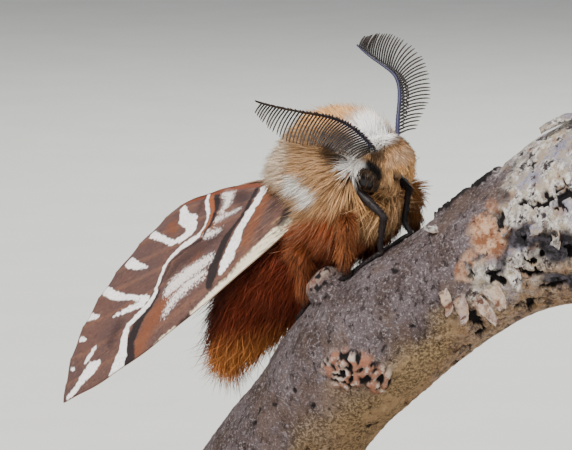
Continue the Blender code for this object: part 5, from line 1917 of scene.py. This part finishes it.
# %% Dark hair round the eyes
def eye_fur(side, mirror):
    """Short dark hair from above and before an eye, which leaves only its lower back free."""
    pick = np.random.default_rng(400 + mirror)
    count = 2400
    outward = unit(np.array((0.25, mirror, 0.1)))
    ahead = unit(np.array((1.0, -0.25 * mirror, 0.0)))
    up = unit(np.array((0.0, 0.0, 1.0)) - outward * outward[2])
    angle = np.radians(pick.uniform(-75, 190, count))[:, None]
    tilt = np.radians(pick.uniform(62, 98, count))[:, None]
    ray = outward * np.cos(tilt) + (ahead * np.cos(angle) + up * np.sin(angle)) * np.sin(tilt)
    flow = unit(-0.6 * ahead - 1.0 * up + pick.normal(0, 0.22, (count, 3)))
    length = pick.uniform(0.35, 1.05, count)[:, None, None]
    steps = STEPS[:, None]
    rays = unit(ray[:, None] + flow[:, None] * steps * length)
    rise = EYE_RADIUS * np.array((0.97, 1.06, 1.12, 1.1))[:, None] + 0.16 * steps * pick.random((count, 1, 1))
    lines = eye_at(mirror) + rays * rise
    values = {key: np.zeros(count) for key in COAT_KEYS}
    values["dark"] = pick.uniform(0.85, 1.0, count)
    values["shade"] = pick.random(count)
    root = lines[:, 0]
    place = np.interp(-root[:, 0], [-row[0] for row in BODY_AXIS], np.linspace(0, 1, len(BODY_AXIS)))
    turn = np.arctan2(root[:, 1], root[:, 2] + 0.9) / math.tau % 1
    root_uv = np.stack([place, turn], -1)
    made = strand_piece(f"coat_eye_{side}", lines, np.full(count, 0.026), COAT_LOOK, values, root_uv)


eye_fur("right", -1)
eye_fur("left", 1)

# %% All the pieces of the coat
coat_piece("coat_head", 12000, part_of(HEAD_ENDS, 9), 0.034, 0.2, 0.3, 101)
for side, way in (("right", -1), ("left", 1)):
    seed = 110 + way
    coat_piece(f"coat_shoulder_{side}", 11500, part_of(0.3, HEAD_ENDS, way), 0.04, 0.2, 0.35, seed)
    coat_piece(f"coat_back_{side}", 10500, part_of(THORAX_ENDS, 0.3, way), 0.042, 0.2, 0.35, seed + 3)
    coat_piece(f"coat_abdomen_{side}", 11500, part_of(-20, THORAX_ENDS, way), 0.04, 0.3, 0.3, seed + 6)

# %% [markdown]
# ## Floor and light
#
# The model stands on a plain pale floor in soft studio light. A sky picture would bring in things that aren't there, so
# three large square lamps and an even, weak world light are enough: the key from the upper left, as in the photograph.

# %% The floor
floor_mesh = bpy.data.meshes.new("floor")
floor_mesh.from_pydata([(-0.6, -0.4, 0), (0.6, -0.4, 0), (0.6, 0.7, 0), (-0.6, 0.7, 0)], [], [(0, 1, 2, 3)])


def floor_fill(graph):
    """A pale warm grey with faint, broad clouds."""
    grain = graph.noise(here(graph), 0.08, 3.0)
    return (graph.mix(grain, tone(206, 206, 200), tone(218, 218, 212)),)


floor_mesh.materials.append(material("Floor", floor_fill, 0.9))
floor = bpy.data.objects.new("floor", floor_mesh)
bpy.context.scene.collection.objects.link(floor)

# %% Lamps and world
MIDDLE = Vector((-5.1, -4.5, 35.8)) * MM


def lamp(name, at, size, power, colour):
    """A square soft lamp that looks at the middle of the moth."""
    light = bpy.data.lights.new(name, "AREA")
    light.size = size
    light.energy = power
    light.color = colour
    made = bpy.data.objects.new(name, light)
    made.location = Vector(at)
    made.rotation_euler = (MIDDLE - made.location).to_track_quat("-Z", "Y").to_euler()
    bpy.context.scene.collection.objects.link(made)


lamp("key_light", (-0.16, -0.3, 0.36), 0.22, 4.2, (1.0, 0.98, 0.95))
lamp("fill_light", (0.34, -0.24, 0.16), 0.3, 1.0, (0.95, 0.97, 1.0))
lamp("back_light", (0.1, 0.32, 0.3), 0.25, 1.6, (1.0, 0.99, 0.97))
world = bpy.data.worlds.new("studio")
world.use_nodes = True
world.node_tree.nodes["Background"].inputs[0].default_value = (0.86, 0.9, 0.95, 1.0)
world.node_tree.nodes["Background"].inputs[1].default_value = 0.4
bpy.context.scene.world = world
print("lamps:", len(bpy.data.lights))

# %% [markdown]
# ## The camera
#
# The photograph was taken from in front of the moth's right side, from a little above. A near camera would widen what
# is close to it, so this one stands 0.4 m away with a long lens, and no part of the picture is out of focus.

# %% The camera
CAMERA_TILT = math.radians(8)
CAMERA_AWAY = 0.4
camera_data = bpy.data.cameras.new("camera")
camera_data.lens = 312.2
camera_data.sensor_width = 36.0
camera_data.clip_start = 0.01
camera = bpy.data.objects.new("camera", camera_data)
LOOK = Vector((0, math.cos(CAMERA_TILT), -math.sin(CAMERA_TILT)))
camera.location = MIDDLE + Vector((0, -0.01, -0.04)) * MM - LOOK * CAMERA_AWAY
camera.rotation_euler = LOOK.to_track_quat("-Z", "Y").to_euler()
bpy.context.scene.collection.objects.link(camera)
bpy.context.scene.camera = camera
print("The camera stands at", [round(v, 3) for v in camera.location])

# %% [markdown]
# ## The end
